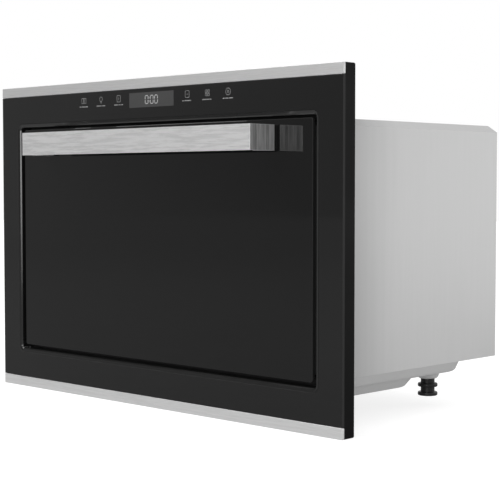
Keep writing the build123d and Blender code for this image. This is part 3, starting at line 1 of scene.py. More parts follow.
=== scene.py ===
# %% [markdown]
# # A built-in microwave drawer
# This lesson dresses a finished model. Every metal, glass and plastic piece arrives at its real size, and
# what is left to do is the finish of each surface, the printing on the glass, the screws and the studio.
# Lengths are in metres. +X is to the right seen from the room, +Y goes into the cabinet and +Z is up.

import math
import random

import bpy
from mathutils import Matrix, Vector


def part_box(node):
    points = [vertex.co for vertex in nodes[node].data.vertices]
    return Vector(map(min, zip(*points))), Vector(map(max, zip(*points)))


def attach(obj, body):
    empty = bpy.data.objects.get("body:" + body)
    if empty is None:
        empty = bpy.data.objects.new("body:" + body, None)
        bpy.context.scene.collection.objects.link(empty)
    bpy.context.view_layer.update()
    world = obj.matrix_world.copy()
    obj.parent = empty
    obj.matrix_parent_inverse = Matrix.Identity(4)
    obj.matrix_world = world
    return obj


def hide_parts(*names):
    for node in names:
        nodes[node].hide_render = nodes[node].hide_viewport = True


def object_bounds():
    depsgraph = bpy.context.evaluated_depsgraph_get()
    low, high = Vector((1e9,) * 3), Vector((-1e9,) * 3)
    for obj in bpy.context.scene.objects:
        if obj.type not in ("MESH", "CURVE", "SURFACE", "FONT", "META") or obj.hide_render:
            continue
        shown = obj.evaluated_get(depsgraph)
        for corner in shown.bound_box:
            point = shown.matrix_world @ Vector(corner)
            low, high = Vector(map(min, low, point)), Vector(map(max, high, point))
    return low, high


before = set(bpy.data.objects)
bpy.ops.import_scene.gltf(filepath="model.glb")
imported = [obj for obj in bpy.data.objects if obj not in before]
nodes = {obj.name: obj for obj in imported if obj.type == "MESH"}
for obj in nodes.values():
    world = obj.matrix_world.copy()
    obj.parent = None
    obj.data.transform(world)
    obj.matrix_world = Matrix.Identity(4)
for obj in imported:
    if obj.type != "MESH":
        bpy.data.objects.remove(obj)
cad_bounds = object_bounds()
scene = bpy.context.scene
scene.view_settings.view_transform = "Standard"
mm = 0.001
middle = (cad_bounds[0] + cad_bounds[1]) / 2

# %% [markdown]
# ## The camera
# The picture is taken from the right of the front, a little above its middle, through a long lens that keeps
# upright edges nearly parallel. A camera is easiest to place by where it stands and by two angles: how far
# round the object it has walked (azimuth) and how far down it looks (elevation). A lens and the width of its
# sensor are the two lengths here that are in millimetres.

# %% Camera
camera_place = Vector((1.2244, -1.1128, 0.2612))
azimuth = math.radians(44.09)
elevation = math.radians(2.84)
lens_length = 97.22
sensor_width = 36.0

lens = bpy.data.cameras.new("camera")
lens.sensor_width = sensor_width
lens.lens = lens_length
camera = bpy.data.objects.new("camera", lens)
scene.collection.objects.link(camera)
turn = Matrix.Rotation(azimuth, 4, "Z") @ Matrix.Rotation(math.radians(90) - elevation, 4, "X")
camera.matrix_world = Matrix.Translation(camera_place) @ turn
scene.camera = camera
print("camera", round((camera_place - middle).length, 2), "m from the middle")


# %% [markdown]
# ## Shader maths in plain Python
# A node tree is hard to read when each sum takes three lines of code. `Socket` wraps one output of a node,
# so that `1 - mask * 0.5` adds its own Math nodes.

# %% Sockets
class Socket:
    """An output of a node, for use in a Python expression."""

    def __init__(self, finish, output):
        self.finish = finish
        self.output = output

    def math(self, operation, other=None, turned=False):
        """One Math node; turned puts the other value first."""
        values = [self] if other is None else [other, self] if turned else [self, other]
        return self.finish.node("ShaderNodeMath", {"operation": operation}, values)

    def __add__(self, other):
        return self.math("ADD", other)

    def __sub__(self, other):
        return self.math("SUBTRACT", other)

    def __rsub__(self, other):
        return self.math("SUBTRACT", other, turned=True)

    def __mul__(self, other):
        return self.math("MULTIPLY", other)

    __radd__ = __add__
    __rmul__ = __mul__

    def spread(self, low, high, to_low=0.0, to_high=1.0):
        """The value moved from one range to another, easing in and out."""
        settings = {"interpolation_type": "SMOOTHSTEP"}
        return self.finish.node("ShaderNodeMapRange", settings, [self, low, high, to_low, to_high])


# %% [markdown]
# ## One tree to a finish
# A finish is one node tree: the maths above, a noise or two, and the shader that they feed. `Finish` holds
# the tree and makes every other node through one method, so that a material reads as a short list of what
# its colour, gloss and dents are made of.

# %% Finishes
class Finish:
    """One node tree: of a material, of the world or of a Geometry Nodes group."""

    def __init__(self, name, tree=None):
        if tree is None:
            self.material = bpy.data.materials.new(name)
            self.material.use_nodes = True
            tree = self.material.node_tree
            self.shader = tree.nodes["Principled BSDF"]
        self.tree = tree

    def node(self, kind, settings=None, inputs=(), output=0):
        """Any node: its settings first, then the values or links of its inputs, by place or by name."""
        made = self.tree.nodes.new(kind)
        for key, value in (settings or {}).items():
            setattr(made, key, value)
        for key, value in inputs.items() if isinstance(inputs, dict) else enumerate(inputs):
            self.feed(made.inputs[key], value)
        return Socket(self, made.outputs[output]) if made.outputs else made

    def feed(self, socket, value):
        if isinstance(value, Socket):
            self.tree.links.new(value.output, socket)
        elif socket.type == "RGBA":
            socket.default_value = (*value, 1)
        else:
            socket.default_value = value

    def place(self):
        """Where a point of the surface lies on the object, in metres."""
        return self.node("ShaderNodeTexCoord", output="Object")

    def facing(self):
        """The way a point of the surface points, as its x, y and z."""
        return self.split(self.node("ShaderNodeNewGeometry", output="Normal"))

    def split(self, vector):
        first = self.node("ShaderNodeSeparateXYZ", inputs=[vector])
        return [Socket(self, output) for output in first.output.node.outputs]

    def rays(self, *kinds):
        """For each kind, such as Camera or Glossy: 1 for a ray of that kind, 0 for another."""
        path = self.node("ShaderNodeLightPath").output.node
        return [Socket(self, path.outputs[f"Is {kind} Ray"]) for kind in kinds]

    def noise(self, stretch, detail=2.0, roughness=0.5):
        """Smooth noise with so many features to the metre, one number for all axes or one for each."""
        scale = (stretch, stretch, stretch) if isinstance(stretch, (int, float)) else stretch
        where = self.node("ShaderNodeMapping", inputs={"Vector": self.place(), "Scale": scale})
        inputs = {"Vector": where, "Scale": 1.0, "Detail": detail, "Roughness": roughness}
        return self.node("ShaderNodeTexNoise", inputs=inputs)

    def blend(self, mask, first, second):
        """A colour between two others."""
        return self.node("ShaderNodeMix", {"data_type": "RGBA"}, {0: mask, 6: first, 7: second}, 2)

    def bump(self, height, depth, strength=0.5):
        inputs = {"Height": height, "Distance": depth, "Strength": strength}
        return self.node("ShaderNodeBump", inputs=inputs, output="Normal")

    def surface(self, **values):
        """Feeds the shader; a name's underscores stand for spaces."""
        for key, value in values.items():
            self.feed(self.shader.inputs[key.replace("_", " ")], value)
        return self.material


def grey(level):
    return (level, level, level)


def coat(names, finish):
    """Gives a finish to every material slot of some nodes."""
    for name in names:
        for slot in nodes[name].material_slots:
            slot.material = finish
    print(finish.name, "on", len(names), "nodes")


# %% [markdown]
# ## Brushed metal
# Brushed metal is a mirror scratched one way. From a step back the scratches are faint light and dark
# streaks, many times longer than they are wide, so the noise is squeezed across the grain. The same streaks
# change the gloss and dent the surface, which spreads a highlight across the grain.

# %% Brushed metal
streak_contrast = 0.05
streak_gloss = 0.05


def streaked(finish, grain, share=0.45):
    """Fine streaks over broader ones, along the axis where grain is smallest."""
    fine = finish.noise(grain, 3.0, 0.6)
    broad = finish.noise([scale * 0.3 for scale in grain], 1.0)
    return fine * share + broad * (1 - share)


def streaked_gloss(streaks, rough):
    return streaks.spread(0.3, 0.7, rough + streak_gloss, rough - streak_gloss)


def brushed(name, grain, level, rough=0.36):
    finish = Finish(name)
    streaks = streaked(finish, grain)
    dark, light = grey(level * (1 - streak_contrast)), grey(level * (1 + streak_contrast))
    return finish.surface(
        Base_Color=finish.blend(streaks.spread(0.32, 0.68), dark, light),
        Metallic=1.0,
        Roughness=streaked_gloss(streaks, rough),
        Normal=finish.bump(streaks, 0.03 * mm),
    )


folded_sheet = ["front_plate", "cavity_stands", "rail_spacers", "rail_arms", "interlock_bracket",
                "waveguide", "magnetron_yoke", "capacitor_clamp"]
runners = ["outer_rails", "middle_rails", "inner_rails", "outer_ball_cages", "inner_ball_cages"]
coat(folded_sheet, brushed("rolled sheet", (30, 300, 300), 0.55))
coat(["cavity", "choke_panel"], brushed("cavity steel", (40, 40, 500), 0.56))
coat(runners + ["touch_springs"], brushed("drawn steel", (300, 12, 300), 0.60, rough=0.3))
zinc = brushed("zinc plate", (300, 300, 300), 0.58)
coat(["handle_screws", "foot_nuts", "stirrer_motor", "chassis_screws"], zinc)
coat(["stirrer", "magnetron_anode", "capacitor"], brushed("drawn aluminium", (150, 150, 20), 0.62))


# %% [markdown]
# ## The handle and the two strips
# The eye goes to these first. The bar is brushed along its length and its bent ends are brushed upright, so
# the way a face points picks one of two grains, with a darker line in the bend that is painted shade. A thin
# bright line along the sharp edges is a painted highlight, made here from the distance to the edge of each
# piece's own box. The two strips share one finish, and painted shade makes it a little darker above the
# glass than below.

# %% Handle and strips
edge_highlight_width = 0.9 * mm
bend_shade_level = 0.16


def painted_edge_highlight(height, edges):
    """1 on a line along each edge, 0 an edge's width away from it: the mask of a painted highlight."""
    lines = [(height - edge).math("ABSOLUTE").spread(0, edge_highlight_width, 1, 0) for edge in edges]
    return sum(lines[1:], lines[0])


def upright_ends(finish, streaks, colour, grain, levels):
    """Other streaks and greys where a face points aside, and a darker line in the bend that is painted
    shade.
    """
    aside = finish.facing()[0].math("ABSOLUTE")
    turned = aside.spread(0.55, 0.65)
    # Painted shade: a darker line in the bend, between the front and the ends.
    bend = turned * aside.spread(0.90, 0.99, 1, 0)
    upright = streaked(finish, grain, 0.8)
    low, high = levels
    end_colour = finish.blend(upright.spread(0.35, 0.65), grey(low), grey(high))
    colour = finish.blend(bend, finish.blend(turned, colour, end_colour), grey(bend_shade_level))
    return streaks * (1 - turned) + upright * turned, colour


def bright_metal(name, grain, levels, rough, metallic, edges, edge_highlight_level, ends=None, upper=1.0):
    """Brushed metal with a painted highlight on its edges; upper is a share of its grey, painted shade above
    the glass.
    """
    finish = Finish(name)
    streaks = streaked(finish, grain)
    low, high = levels
    colour = finish.blend(streaks.spread(0.40, 0.60), grey(low), grey(high))
    if ends:
        streaks, colour = upright_ends(finish, streaks, colour, *ends)
    height = finish.split(finish.place())[2]
    # Painted shade: the grey is lowered above the glass.
    if upper < 1:
        darker = finish.blend(streaks.spread(0.40, 0.60), grey(low * upper), grey(high * upper))
        colour = finish.blend(height.spread(edges[1], edges[2]), colour, darker)
    # Painted highlight: a thin pale line along the edges of the piece's box.
    return finish.surface(
        Base_Color=finish.blend(painted_edge_highlight(height, edges), colour, grey(edge_highlight_level)),
        Metallic=metallic,
        Roughness=streaked_gloss(streaks, rough),
        Normal=finish.bump(streaks, 0.04 * mm),
    )


handle_low, handle_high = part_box("handle")
strip_low, strip_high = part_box("trim_strips")
glass_low, glass_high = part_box("front_glass")
handle_metal = bright_metal(
    "handle metal", grain=(75, 1250, 1250), levels=(0.72, 0.94), rough=0.40, metallic=0.85,
    edges=(handle_low.z, handle_high.z), edge_highlight_level=0.92, ends=((900, 900, 22), (0.38, 0.95)),
)
strip_metal = bright_metal(
    "strip metal", grain=(60, 1500, 1500), levels=(0.73, 0.79), rough=0.42, metallic=0.70,
    edges=(strip_low.z, glass_low.z, glass_high.z, strip_high.z), edge_highlight_level=0.88, upper=0.75,
)
coat(["handle"], handle_metal)
coat(["trim_strips"], strip_metal)


# %% [markdown]
# ## The body's sheet
# The body is plain zinc-coated sheet, more satin than shiny. Rolling leaves a faint cloudiness and very weak
# upright lines. A little metal in the shader tints the highlights, while the base colour carries the look,
# so that it stays pale from every side. Painted shade makes the sheet a little darker just behind the frame,
# which is a mask that fades along the depth and wavers a little. The pan's front wall shows in the gap under
# the drawer and is painted black there as painted shade.

# %% Body sheet
sheet_metallic = 0.20
sheet_rough = 0.42
frame_shade_share = 0.84
frame_shade_start = 20 * mm
frame_shade_end = 125 * mm
frame_shade_waver = 8 * mm
gap_shade_level = 0.0015
gap_shade_back = -0.5 * mm
gap_shade_edge = 0.2 * mm


def coated_sheet(name, level, grain, shaded_by_frame=False, shaded_in_gap=False):
    """Pale sheet, with painted shade that may darken it just behind the frame and paint its front wall
    black.
    """
    finish = Finish(name)
    inwards = finish.split(finish.place())[1]
    cloud = finish.noise(7, 3.0)
    shade = (finish.noise(grain) * 0.22 + cloud * 0.78).spread(0.3, 0.7)
    colour = finish.blend(shade, grey(level * 0.97), grey(level * 1.03))
    metallic = sheet_metallic
    # Painted shade: darker just behind the frame, where the frame shades the side.
    if shaded_by_frame:
        waver = finish.noise((1, 90, 1)).spread(0.3, 0.7, -frame_shade_waver, frame_shade_waver)
        near = (inwards + waver).spread(frame_shade_start, frame_shade_end, 1, 0)
        colour = finish.blend(near, colour, grey(level * frame_shade_share))
    # Painted shade: the front wall is painted black where it shows in the gap under the drawer.
    if shaded_in_gap:
        front = inwards.spread(gap_shade_back - gap_shade_edge, gap_shade_back + gap_shade_edge, 1, 0)
        colour = finish.blend(front, colour, grey(gap_shade_level))
        metallic = (1 - front) * sheet_metallic
    return finish.surface(
        Base_Color=colour,
        Metallic=metallic,
        Roughness=cloud.spread(0.3, 0.7, sheet_rough - 0.04, sheet_rough + 0.04),
        Normal=finish.bump(finish.noise(1500), 0.02 * mm, 0.3),
    )


coat(["outer_wrapper", "rear_panel"], coated_sheet("body sheet", 0.435, (260, 260, 12), shaded_by_frame=True))
coat(["base_pan"], coated_sheet("pan sheet", 0.425, 40, shaded_in_gap=True))


# %% [markdown]
# ## The painted glass
# The front is clear glass painted black behind. The eye gets a black body under an even gloss, so a dark
# base under one sharp reflection does it. The display's window is tinted paler, which is a mask drawn from
# the display's own box. The narrow sides of a pane are ground, so they are dull where the faces shine. A
# painted highlight runs in two lengths above the handle, a pale line under the top edge of the drawer's
# pane.

# %% Glass
window_level = 0.042
window_edge = 0.3 * mm
ground_level = 0.009
ground_rough = 0.7
rim_highlight_level = 0.17
rim_highlight_depth = 0.8 * mm
rim_highlight_spans = ((-150 * mm, -118 * mm), (-68 * mm, 158 * mm))


def window_mask(finish, low, high):
    """1 inside a box seen from the front, 0 outside it."""
    x, _, z = finish.split(finish.place())

    def between(axis, start, end):
        past_start = axis.spread(start - window_edge, start + window_edge)
        return past_start * axis.spread(end - window_edge, end + window_edge, 1, 0)

    return between(x, low.x, high.x) * between(z, low.z, high.z)


def painted_glass(name, level, paler):
    """Glass painted black; paler lists boxes and the grey in each, such as the display's window and painted
    highlights.
    """
    finish = Finish(name)
    smear = finish.noise(5, 4.0)
    colour = finish.blend(smear.spread(0.2, 0.8), grey(level * 0.9), grey(level * 1.1))
    for low, high, box_level in paler:
        colour = finish.blend(window_mask(finish, low, high), colour, grey(box_level))
    ground = finish.facing()[1].math("ABSOLUTE").spread(0.75, 0.95, 1, 0)
    return finish.surface(
        Base_Color=finish.blend(ground, colour, grey(ground_level)),
        Roughness=ground * ground_rough + smear.spread(0.35, 0.75, 0.04, 0.075),
    )


display_low, display_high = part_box("display_module")
pane_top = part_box("drawer_glass")[1].z
# Painted highlight: a pale line under the drawer pane's top edge, in two runs above the handle.
rim_highlight_runs = []
for start, end in rim_highlight_spans:
    low = Vector((start, 0, pane_top - rim_highlight_depth))
    high = Vector((end, 0, pane_top + rim_highlight_depth))
    rim_highlight_runs.append((low, high, rim_highlight_level))
coat(["front_glass"], painted_glass("frame glass", 0.0062, [(display_low, display_high, window_level)]))
coat(["drawer_glass"], painted_glass("drawer glass", 0.0028, rim_highlight_runs))


# %% [markdown]
# ## Plastics, rubber and ceramic
# Moulded plastic carries the fine texture of its mould, and its colour drifts a little where it flowed.
# Gloss differs from piece to piece: the display is smooth, the feet are satin, the bumpers are dull. The
# frame is a black that mirrors next to nothing, so its shader has a very low specular level.

# %% Plastics
def moulded(name, colour, rough=0.5, grain=1400, depth=0.03 * mm, specular=0.5):
    finish = Finish(name)
    flow = finish.noise(14).spread(0.3, 0.7)
    darker = [value * 0.94 for value in colour]
    lighter = [value * 1.06 for value in colour]
    return finish.surface(
        Base_Color=finish.blend(flow, darker, lighter),
        Roughness=flow.spread(0, 1, rough - 0.04, rough + 0.04),
        Normal=finish.bump(finish.noise(grain), depth),
        Specular_IOR_Level=specular,
    )


feet = ["front_left_foot", "front_right_foot", "rear_left_foot", "rear_right_foot"]
black_fittings = ["mains_gland", "handle_spacers", "interlock_switches", "cavity_lamp", "thermal_cutouts"]
milky_fittings = ["stirrer_cover", "interlock_strikers", "interlock_plungers"]
coat(["front_frame"], moulded("frame plastic", grey(0.0040), 0.45, specular=0.06))
coat(["display_module"], moulded("display plastic", grey(0.0070), 0.16, grain=600, depth=0.005 * mm))
coat(black_fittings + feet, moulded("foot plastic", grey(0.005), 0.34))
coat(["choke_cover"], moulded("cover plastic", grey(0.28), 0.45))
coat(["tub"], moulded("tub plastic", (0.60, 0.59, 0.56), 0.30))
coat(milky_fittings, moulded("milky plastic", (0.62, 0.61, 0.58)))
coat(["floor_plate"], moulded("ceramic plate", (0.66, 0.65, 0.62), 0.14, grain=300, depth=0.01 * mm))
coat(["bumpers"], moulded("soft rubber", grey(0.02), 0.75))
coat(["fan_shroud", "fan_impeller", "air_duct"], moulded("duct plastic", grey(0.03)))
coat(["magnetron_magnets"], moulded("ferrite", grey(0.05), 0.7))


# %% [markdown]
# ## The opening's lining and the drawer's tray
# These two meet in the narrow gap round the drawer's front. The lining is glossy on its sloped lip, and a
# painted highlight makes it a little paler where the lip looks down. Its rear stop is dull, and painted
# shade makes it darker, which keeps the gap above the drawer black. The tray is black in front, and its
# flanks are painted dark grey as painted light where they show in the gap.

# %% Lining and tray
lining_levels = (0.0066, 0.0074)
lip_highlight = 0.042
stop_shade_level = 0.0015
stop_rough = 0.7
stop_starts = -3.5 * mm
stop_is_full = -3.0 * mm
tray_levels = (0.0042, 0.0048)
flank_light_level = 0.055


def lining_plastic(name):
    finish = Finish(name)
    _, y, z = finish.facing()
    lip = y.math("ABSOLUTE").spread(0.50, 0.65)
    # Painted highlight: paler where the lip looks down.
    looks_down_highlight = (z * -1).math("MAXIMUM", 0.0) * lip
    # Painted shade: the rear stop is painted darker, which keeps the gap above the drawer black.
    stop = finish.split(finish.place())[1].spread(stop_starts, stop_is_full)
    drift = finish.noise(14).spread(0.3, 0.7, *lining_levels)
    level = (drift + looks_down_highlight * lip_highlight) * (1 - stop) + stop * stop_shade_level
    return finish.surface(
        Base_Color=finish.node("ShaderNodeCombineColor", inputs=[level, level, level]),
        Roughness=stop * stop_rough + drift.spread(*lining_levels, 0.13, 0.19),
        Normal=finish.bump(finish.noise(600), 0.005 * mm),
    )


def tray_plastic(name):
    finish = Finish(name)
    # Painted light: the flanks are a paler grey where they show in the gap at the drawer's sides.
    flank = finish.facing()[0].math("ABSOLUTE").spread(0.85, 0.95)
    drift = finish.noise(14).spread(0.3, 0.7)
    low, high = tray_levels
    return finish.surface(
        Base_Color=finish.blend(flank, finish.blend(drift, grey(low), grey(high)), grey(flank_light_level)),
        Roughness=drift.spread(0, 1, 0.41, 0.49),
        Normal=finish.bump(finish.noise(1400), 0.03 * mm),
        Specular_IOR_Level=0.12,
    )


coat(["opening_trim"], lining_plastic("lining plastic"))
coat(["drawer_tray"], tray_plastic("tray plastic"))


# %% [markdown]
# ## Boards, windings and iron
# These sit inside and show only through the slots, but each has what makes it known: tracks under green
# lacquer, close turns of copper wire, and iron sheets on edge.

# %% Electrical finishes
lacquer_dark = (0.010, 0.075, 0.030)
lacquer_over_copper = (0.035, 0.160, 0.060)
copper_dark = (0.16, 0.045, 0.015)
copper_light = (0.52, 0.20, 0.07)
iron_rusty = (0.10, 0.075, 0.055)
wire_pitch = 1.2 * mm
iron_pitch = 0.7 * mm


def circuit_board(name):
    """Tracks along the edges between the cells of a fine pattern."""
    finish = Finish(name)
    settings = {"feature": "DISTANCE_TO_EDGE"}
    cells = finish.node("ShaderNodeTexVoronoi", settings, {"Vector": finish.place(), "Scale": 260.0})
    copper = cells.spread(0.03, 0.06, 1, 0)
    return finish.surface(
        Base_Color=finish.blend(copper, lacquer_dark, lacquer_over_copper),
        Roughness=copper.spread(0, 1, 0.32, 0.42),
        Normal=finish.bump(copper, 0.04 * mm),
    )


def layered(name, axis, pitch, dark, light, metallic):
    """Fine ridges, one after the other along an axis."""
    finish = Finish(name)
    along = finish.split(finish.place())[axis]
    ridges = (along * (2 * math.pi / pitch)).math("SINE").spread(-1, 1)
    return finish.surface(
        Base_Color=finish.blend(ridges, dark, light),
        Metallic=metallic,
        Roughness=ridges.spread(0, 1, 0.45, 0.35),
        Normal=finish.bump(ridges, 0.2 * mm),
    )


coat(["touch_board", "power_board", "noise_filter"], circuit_board("solder lacquer"))
coat(["transformer_windings"], layered("copper turns", 2, wire_pitch, copper_dark, copper_light, 0.6))
coat(["transformer_core", "fan_motor"], layered("iron sheets", 1, iron_pitch, grey(0.05), iron_rusty, 0.4))

# %% [markdown]
# ## One tree for every printed mark
# The marks on the glass are printed lines: the digits' bars, the key outlines and the short dashes under
# them. Each could be cut from a plane, but a line is easier to change. So every mark is drawn as edges, and
# one Geometry Nodes tree sweeps a flat profile along them all. The sweep is turned so that the profile lies
# flat on the glass.

# %% Stroke tree
stroke_depth = 0.05 * mm


def geometry_tree(name, inputs):
    """A Geometry Nodes group with named inputs: it, its sockets' identifiers and its sources."""
    tree = bpy.data.node_groups.new(name, "GeometryNodeTree")
    tree.interface.new_socket("Geometry", in_out="OUTPUT", socket_type="NodeSocketGeometry")
    build = Finish(name, tree)
    identifiers = {}
    for label, kind in {"Geometry": "Geometry", **inputs}.items():
        made = tree.interface.new_socket(label, in_out="INPUT", socket_type="NodeSocket" + kind)
        identifiers[label] = made.identifier
    sources = build.node("NodeGroupInput").output.node.outputs
    return build, identifiers, {label: Socket(build, sources[label]) for label in identifiers}


def close_tree(build, geometry, finish):
    """Ends a tree: instances made real, the finish set, and out."""
    solid = build.node("GeometryNodeRealizeInstances", inputs=[geometry])
    painted = build.node("GeometryNodeSetMaterial", inputs={"Geometry": solid, "Material": finish})
    build.node("NodeGroupOutput", inputs=[painted])


def stroke_tree(name, finish):
    """Sweeps a flat profile along the edges that it is given."""
    build, identifiers, given = geometry_tree(name, {"Width": "Float", "Depth": "Float"})
    path = build.node("GeometryNodeMeshToCurve", inputs=[given["Geometry"]])
    flat = build.node("GeometryNodeSetCurveNormal", {"mode": "FREE"}, {"Curve": path, "Normal": (0, -1, 0)})
    section = {"Width": given["Depth"], "Height": given["Width"]}
    profile = build.node("GeometryNodeCurvePrimitiveQuadrilateral", inputs=section)
    sweep = {"Curve": flat, "Profile Curve": profile, "Fill Caps": True}
    close_tree(build, build.node("GeometryNodeCurveToMesh", inputs=sweep), finish)
    return build, identifiers


# %% [markdown]
# ## From a tree to a piece
# A tree works on a seed: a mesh of the lines, or of the points, that it is to follow. The result is copied
# to a plain mesh, which stays the same when the tree is gone and rides on the body that carries it. A
# printed mark needs one thing more, the ink, which is matt and a little worn.

# %% Grown pieces
def grow_piece(name, source, build, identifiers, values, body, slot):
    """Runs a tree on a source mesh and keeps the result as a plain mesh that rides on a body."""
    seed = bpy.data.objects.new(name + ".seed", source)
    scene.collection.objects.link(seed)
    modifier = seed.modifiers.new("grow", "NODES")
    modifier.node_group = build.tree
    for label, value in values.items():
        modifier[identifiers[label]] = value
    graph = bpy.context.evaluated_depsgraph_get()
    grown = bpy.data.meshes.new_from_object(seed.evaluated_get(graph), depsgraph=graph)
    seed.modifiers.remove(modifier)
    bpy.data.objects.remove(seed)
    piece = bpy.data.objects.new(name, grown)
    scene.collection.objects.link(piece)
    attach(piece, body)
    print(name, len(grown.polygons), "faces")
    return piece


def printed_ink(name, level, glow=0.0):
    finish = Finish(name)
    wear = finish.noise(700).spread(0.3, 0.7)
    colour = finish.blend(wear, grey(level * 0.85), grey(level * 1.1))
    finish.surface(Base_Color=colour, Roughness=wear.spread(0, 1, 0.55, 0.45))
    if glow:
        finish.surface(Emission_Color=colour, Emission_Strength=glow)
    return finish.material


def print_lines(name, paths, tree, width):
    """Prints paths on the front glass; a path is (points in x and z, whether it closes)."""
    corners = []
    edges = []
    for points, closed in paths:
        first = len(corners)
        corners += [(x, glass_low.y, z) for x, z in points]
        edges += [(first + step, first + step + 1) for step in range(len(points) - 1)]
        if closed:
            edges.append((len(corners) - 1, first))
    mesh = bpy.data.meshes.new(name)
    mesh.from_pydata(corners, edges, [])
    sizes = {"Width": width, "Depth": stroke_depth}
    return grow_piece(name, mesh, *tree, sizes, "cabinet", "white_plastic")


# %% [markdown]
# ## The clock on the display
# A clock of this kind has seven bars to a digit. Each digit is described by the bars that are lit, so the
# same few lines could show any time. It shows a plain zero.

# %% Clock digits
display_middle = (display_low + display_high) / 2
digit_width = 5.2 * mm
digit_height = 9.6 * mm
digit_gap = 0.55 * mm
digit_lefts = (-10.6 * mm, -1.4 * mm, 6.4 * mm)
colon_left = -3.9 * mm
colon_right = -2.9 * mm
colon_heights = (0.3, 0.7)
bar_width = 1.0 * mm
bars = {
    "top": ((0, 1), (1, 1)), "middle": ((0, 0.5), (1, 0.5)), "bottom": ((0, 0), (1, 0)),
    "upper left": ((0, 0.5), (0, 1)), "upper right": ((1, 0.5), (1, 1)),
    "lower left": ((0, 0), (0, 0.5)), "lower right": ((1, 0), (1, 0.5)),
}
zero = ["top", "bottom", "upper left", "upper right", "lower left", "lower right"]


def on_display(share):
    """The height of a point of a digit, given as a share of the digit's own height."""
    return display_middle.z + (share - 0.5) * digit_height


def digit_paths(left, lit):
    """The lit bars of one digit, each kept clear of its neighbours."""
    paths = []
    for name in lit:
        start, end = [Vector((left + u * digit_width, on_display(v))) for u, v in bars[name]]
        gap = (end - start).normalized() * digit_gap
        paths.append(((start + gap, end - gap), False))
    return paths


clock_paths = [path for left in digit_lefts for path in digit_paths(left, zero)]
for share in colon_heights:
    clock_paths.append((((colon_left, on_display(share)), (colon_right, on_display(share))), False))
clock_tree = stroke_tree("clock strokes", printed_ink("clock ink", 0.28, glow=0.35))
print_lines("clock_digits", clock_paths, clock_tree, bar_width)

# %% [markdown]
# ## The key outlines
# Six touch keys sit in a row, three on each side of the display, over the springs behind the glass. Their
# outlines here are plain figures: panes, a lamp, a start mark, a minus, rings and a dial. Each is drawn in
# millimetres round its own middle.

# %% Key outlines
key_pitch = 34.0 * mm
key_width = 0.42 * mm


def arc(u, v, radius, start=0.0, sweep=360.0, steps=20):
    angles = [math.radians(start + sweep * step / steps) for step in range(steps + (sweep < 360))]
    return [(u + radius * math.cos(angle), v + radius * math.sin(angle)) for angle in angles]


def rounded(u, v, half_u, half_v, radius):
    """A rectangle with rounded corners."""
    points = []
    for number, (side_u, side_v) in enumerate(((1, 1), (-1, 1), (-1, -1), (1, -1))):
        centre = (u + side_u * (half_u - radius), v + side_v * (half_v - radius))
        points += arc(*centre, radius, 90 * number, 90, 5)
    return points


key_case = (rounded(0, 0, 3.3, 4.0, 1.2), True)
key_outlines = [
    [(rounded(-2.3, 0, 1.9, 3.2, 0.5), True), (rounded(2.3, 0, 1.9, 3.2, 0.5), True)],
    [(arc(0, 0.8, 2.7), True), ([(-1.2, -2.8), (1.2, -2.8)], False), ([(-0.8, -4.0), (0.8, -4.0)], False)],
    [key_case, ([(-0.9, -1.3), (1.4, 0), (-0.9, 1.3)], True)],
    [key_case, ([(-1.3, 0), (1.3, 0)], False)],
    [(arc(u, v, 1.6), True) for u in (-2.0, 2.0) for v in (-2.0, 2.0)],
    [(arc(0, 0, 3.9), True), (arc(0, 0, 1.2, steps=10), True)],
]
springs_low, springs_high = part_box("touch_springs")
key_height = (springs_low.z + springs_high.z) / 2
spring_reach = (springs_high.z - springs_low.z) / 2
first_key = springs_low.x + spring_reach
last_key = springs_high.x - spring_reach
key_places = [first_key + key_pitch * step for step in range(3)]
key_places += [last_key - key_pitch * step for step in (2, 1, 0)]
key_paths = [
    ([(key_x + u * mm, key_height + v * mm) for u, v in points], closed)
    for key_x, outline in zip(key_places, key_outlines) for points, closed in outline
]
key_tree = stroke_tree("key strokes", printed_ink("key ink", 0.26))
print_lines("key_outlines", key_paths, key_tree, key_width)

# %% [markdown]
# ## The key captions
# Words this small are a row of dashes from a step back, so short dashes stand for the captions. Their
# lengths are drawn by dice with a fixed seed, and about one gap in four is wide, as between two words.

# %% Key captions
caption_drop = 7.6 * mm
caption_length = 17.0 * mm
caption_height = 1.25 * mm
shortest_dash, longest_dash = 0.7, 1.6
dash_gaps = (0.5, 0.5, 0.5, 1.5)
last_dash_room = 1.5 * mm
caption_line = key_height - caption_drop
caption_paths = []
dice = random.Random(4)
for key_x in key_places:
    at = key_x - caption_length / 2
    while at < key_x + caption_length / 2 - last_dash_room:
        dash = dice.uniform(shortest_dash, longest_dash) * mm
        caption_paths.append((((at, caption_line), (at + dash, caption_line)), False))
        at += dash + dice.choice(dash_gaps) * mm
print_lines("key_captions", caption_paths, key_tree, caption_height)

# %% [markdown]
# ## The screws
# The rear panel, the front frame and the touch board are held by pan head screws with a cross recess, which
# the model leaves plain. One screw is drawn once, as half a squashed ball with two slots cut across it, and
# set on every point of a list. The same tree serves all three sizes, because its size and its turn are
# inputs. Every other length is a share of the head's radius.

# %% Screw tree
dome_height = 0.47
slot_length = 1.1
slot_width = 0.24
slot_depth = 0.5
slot_middle = 0.45
shank_radius = 0.5
shank_length = 1.5
cutter_width = 3.0
cutter_height = 1.0


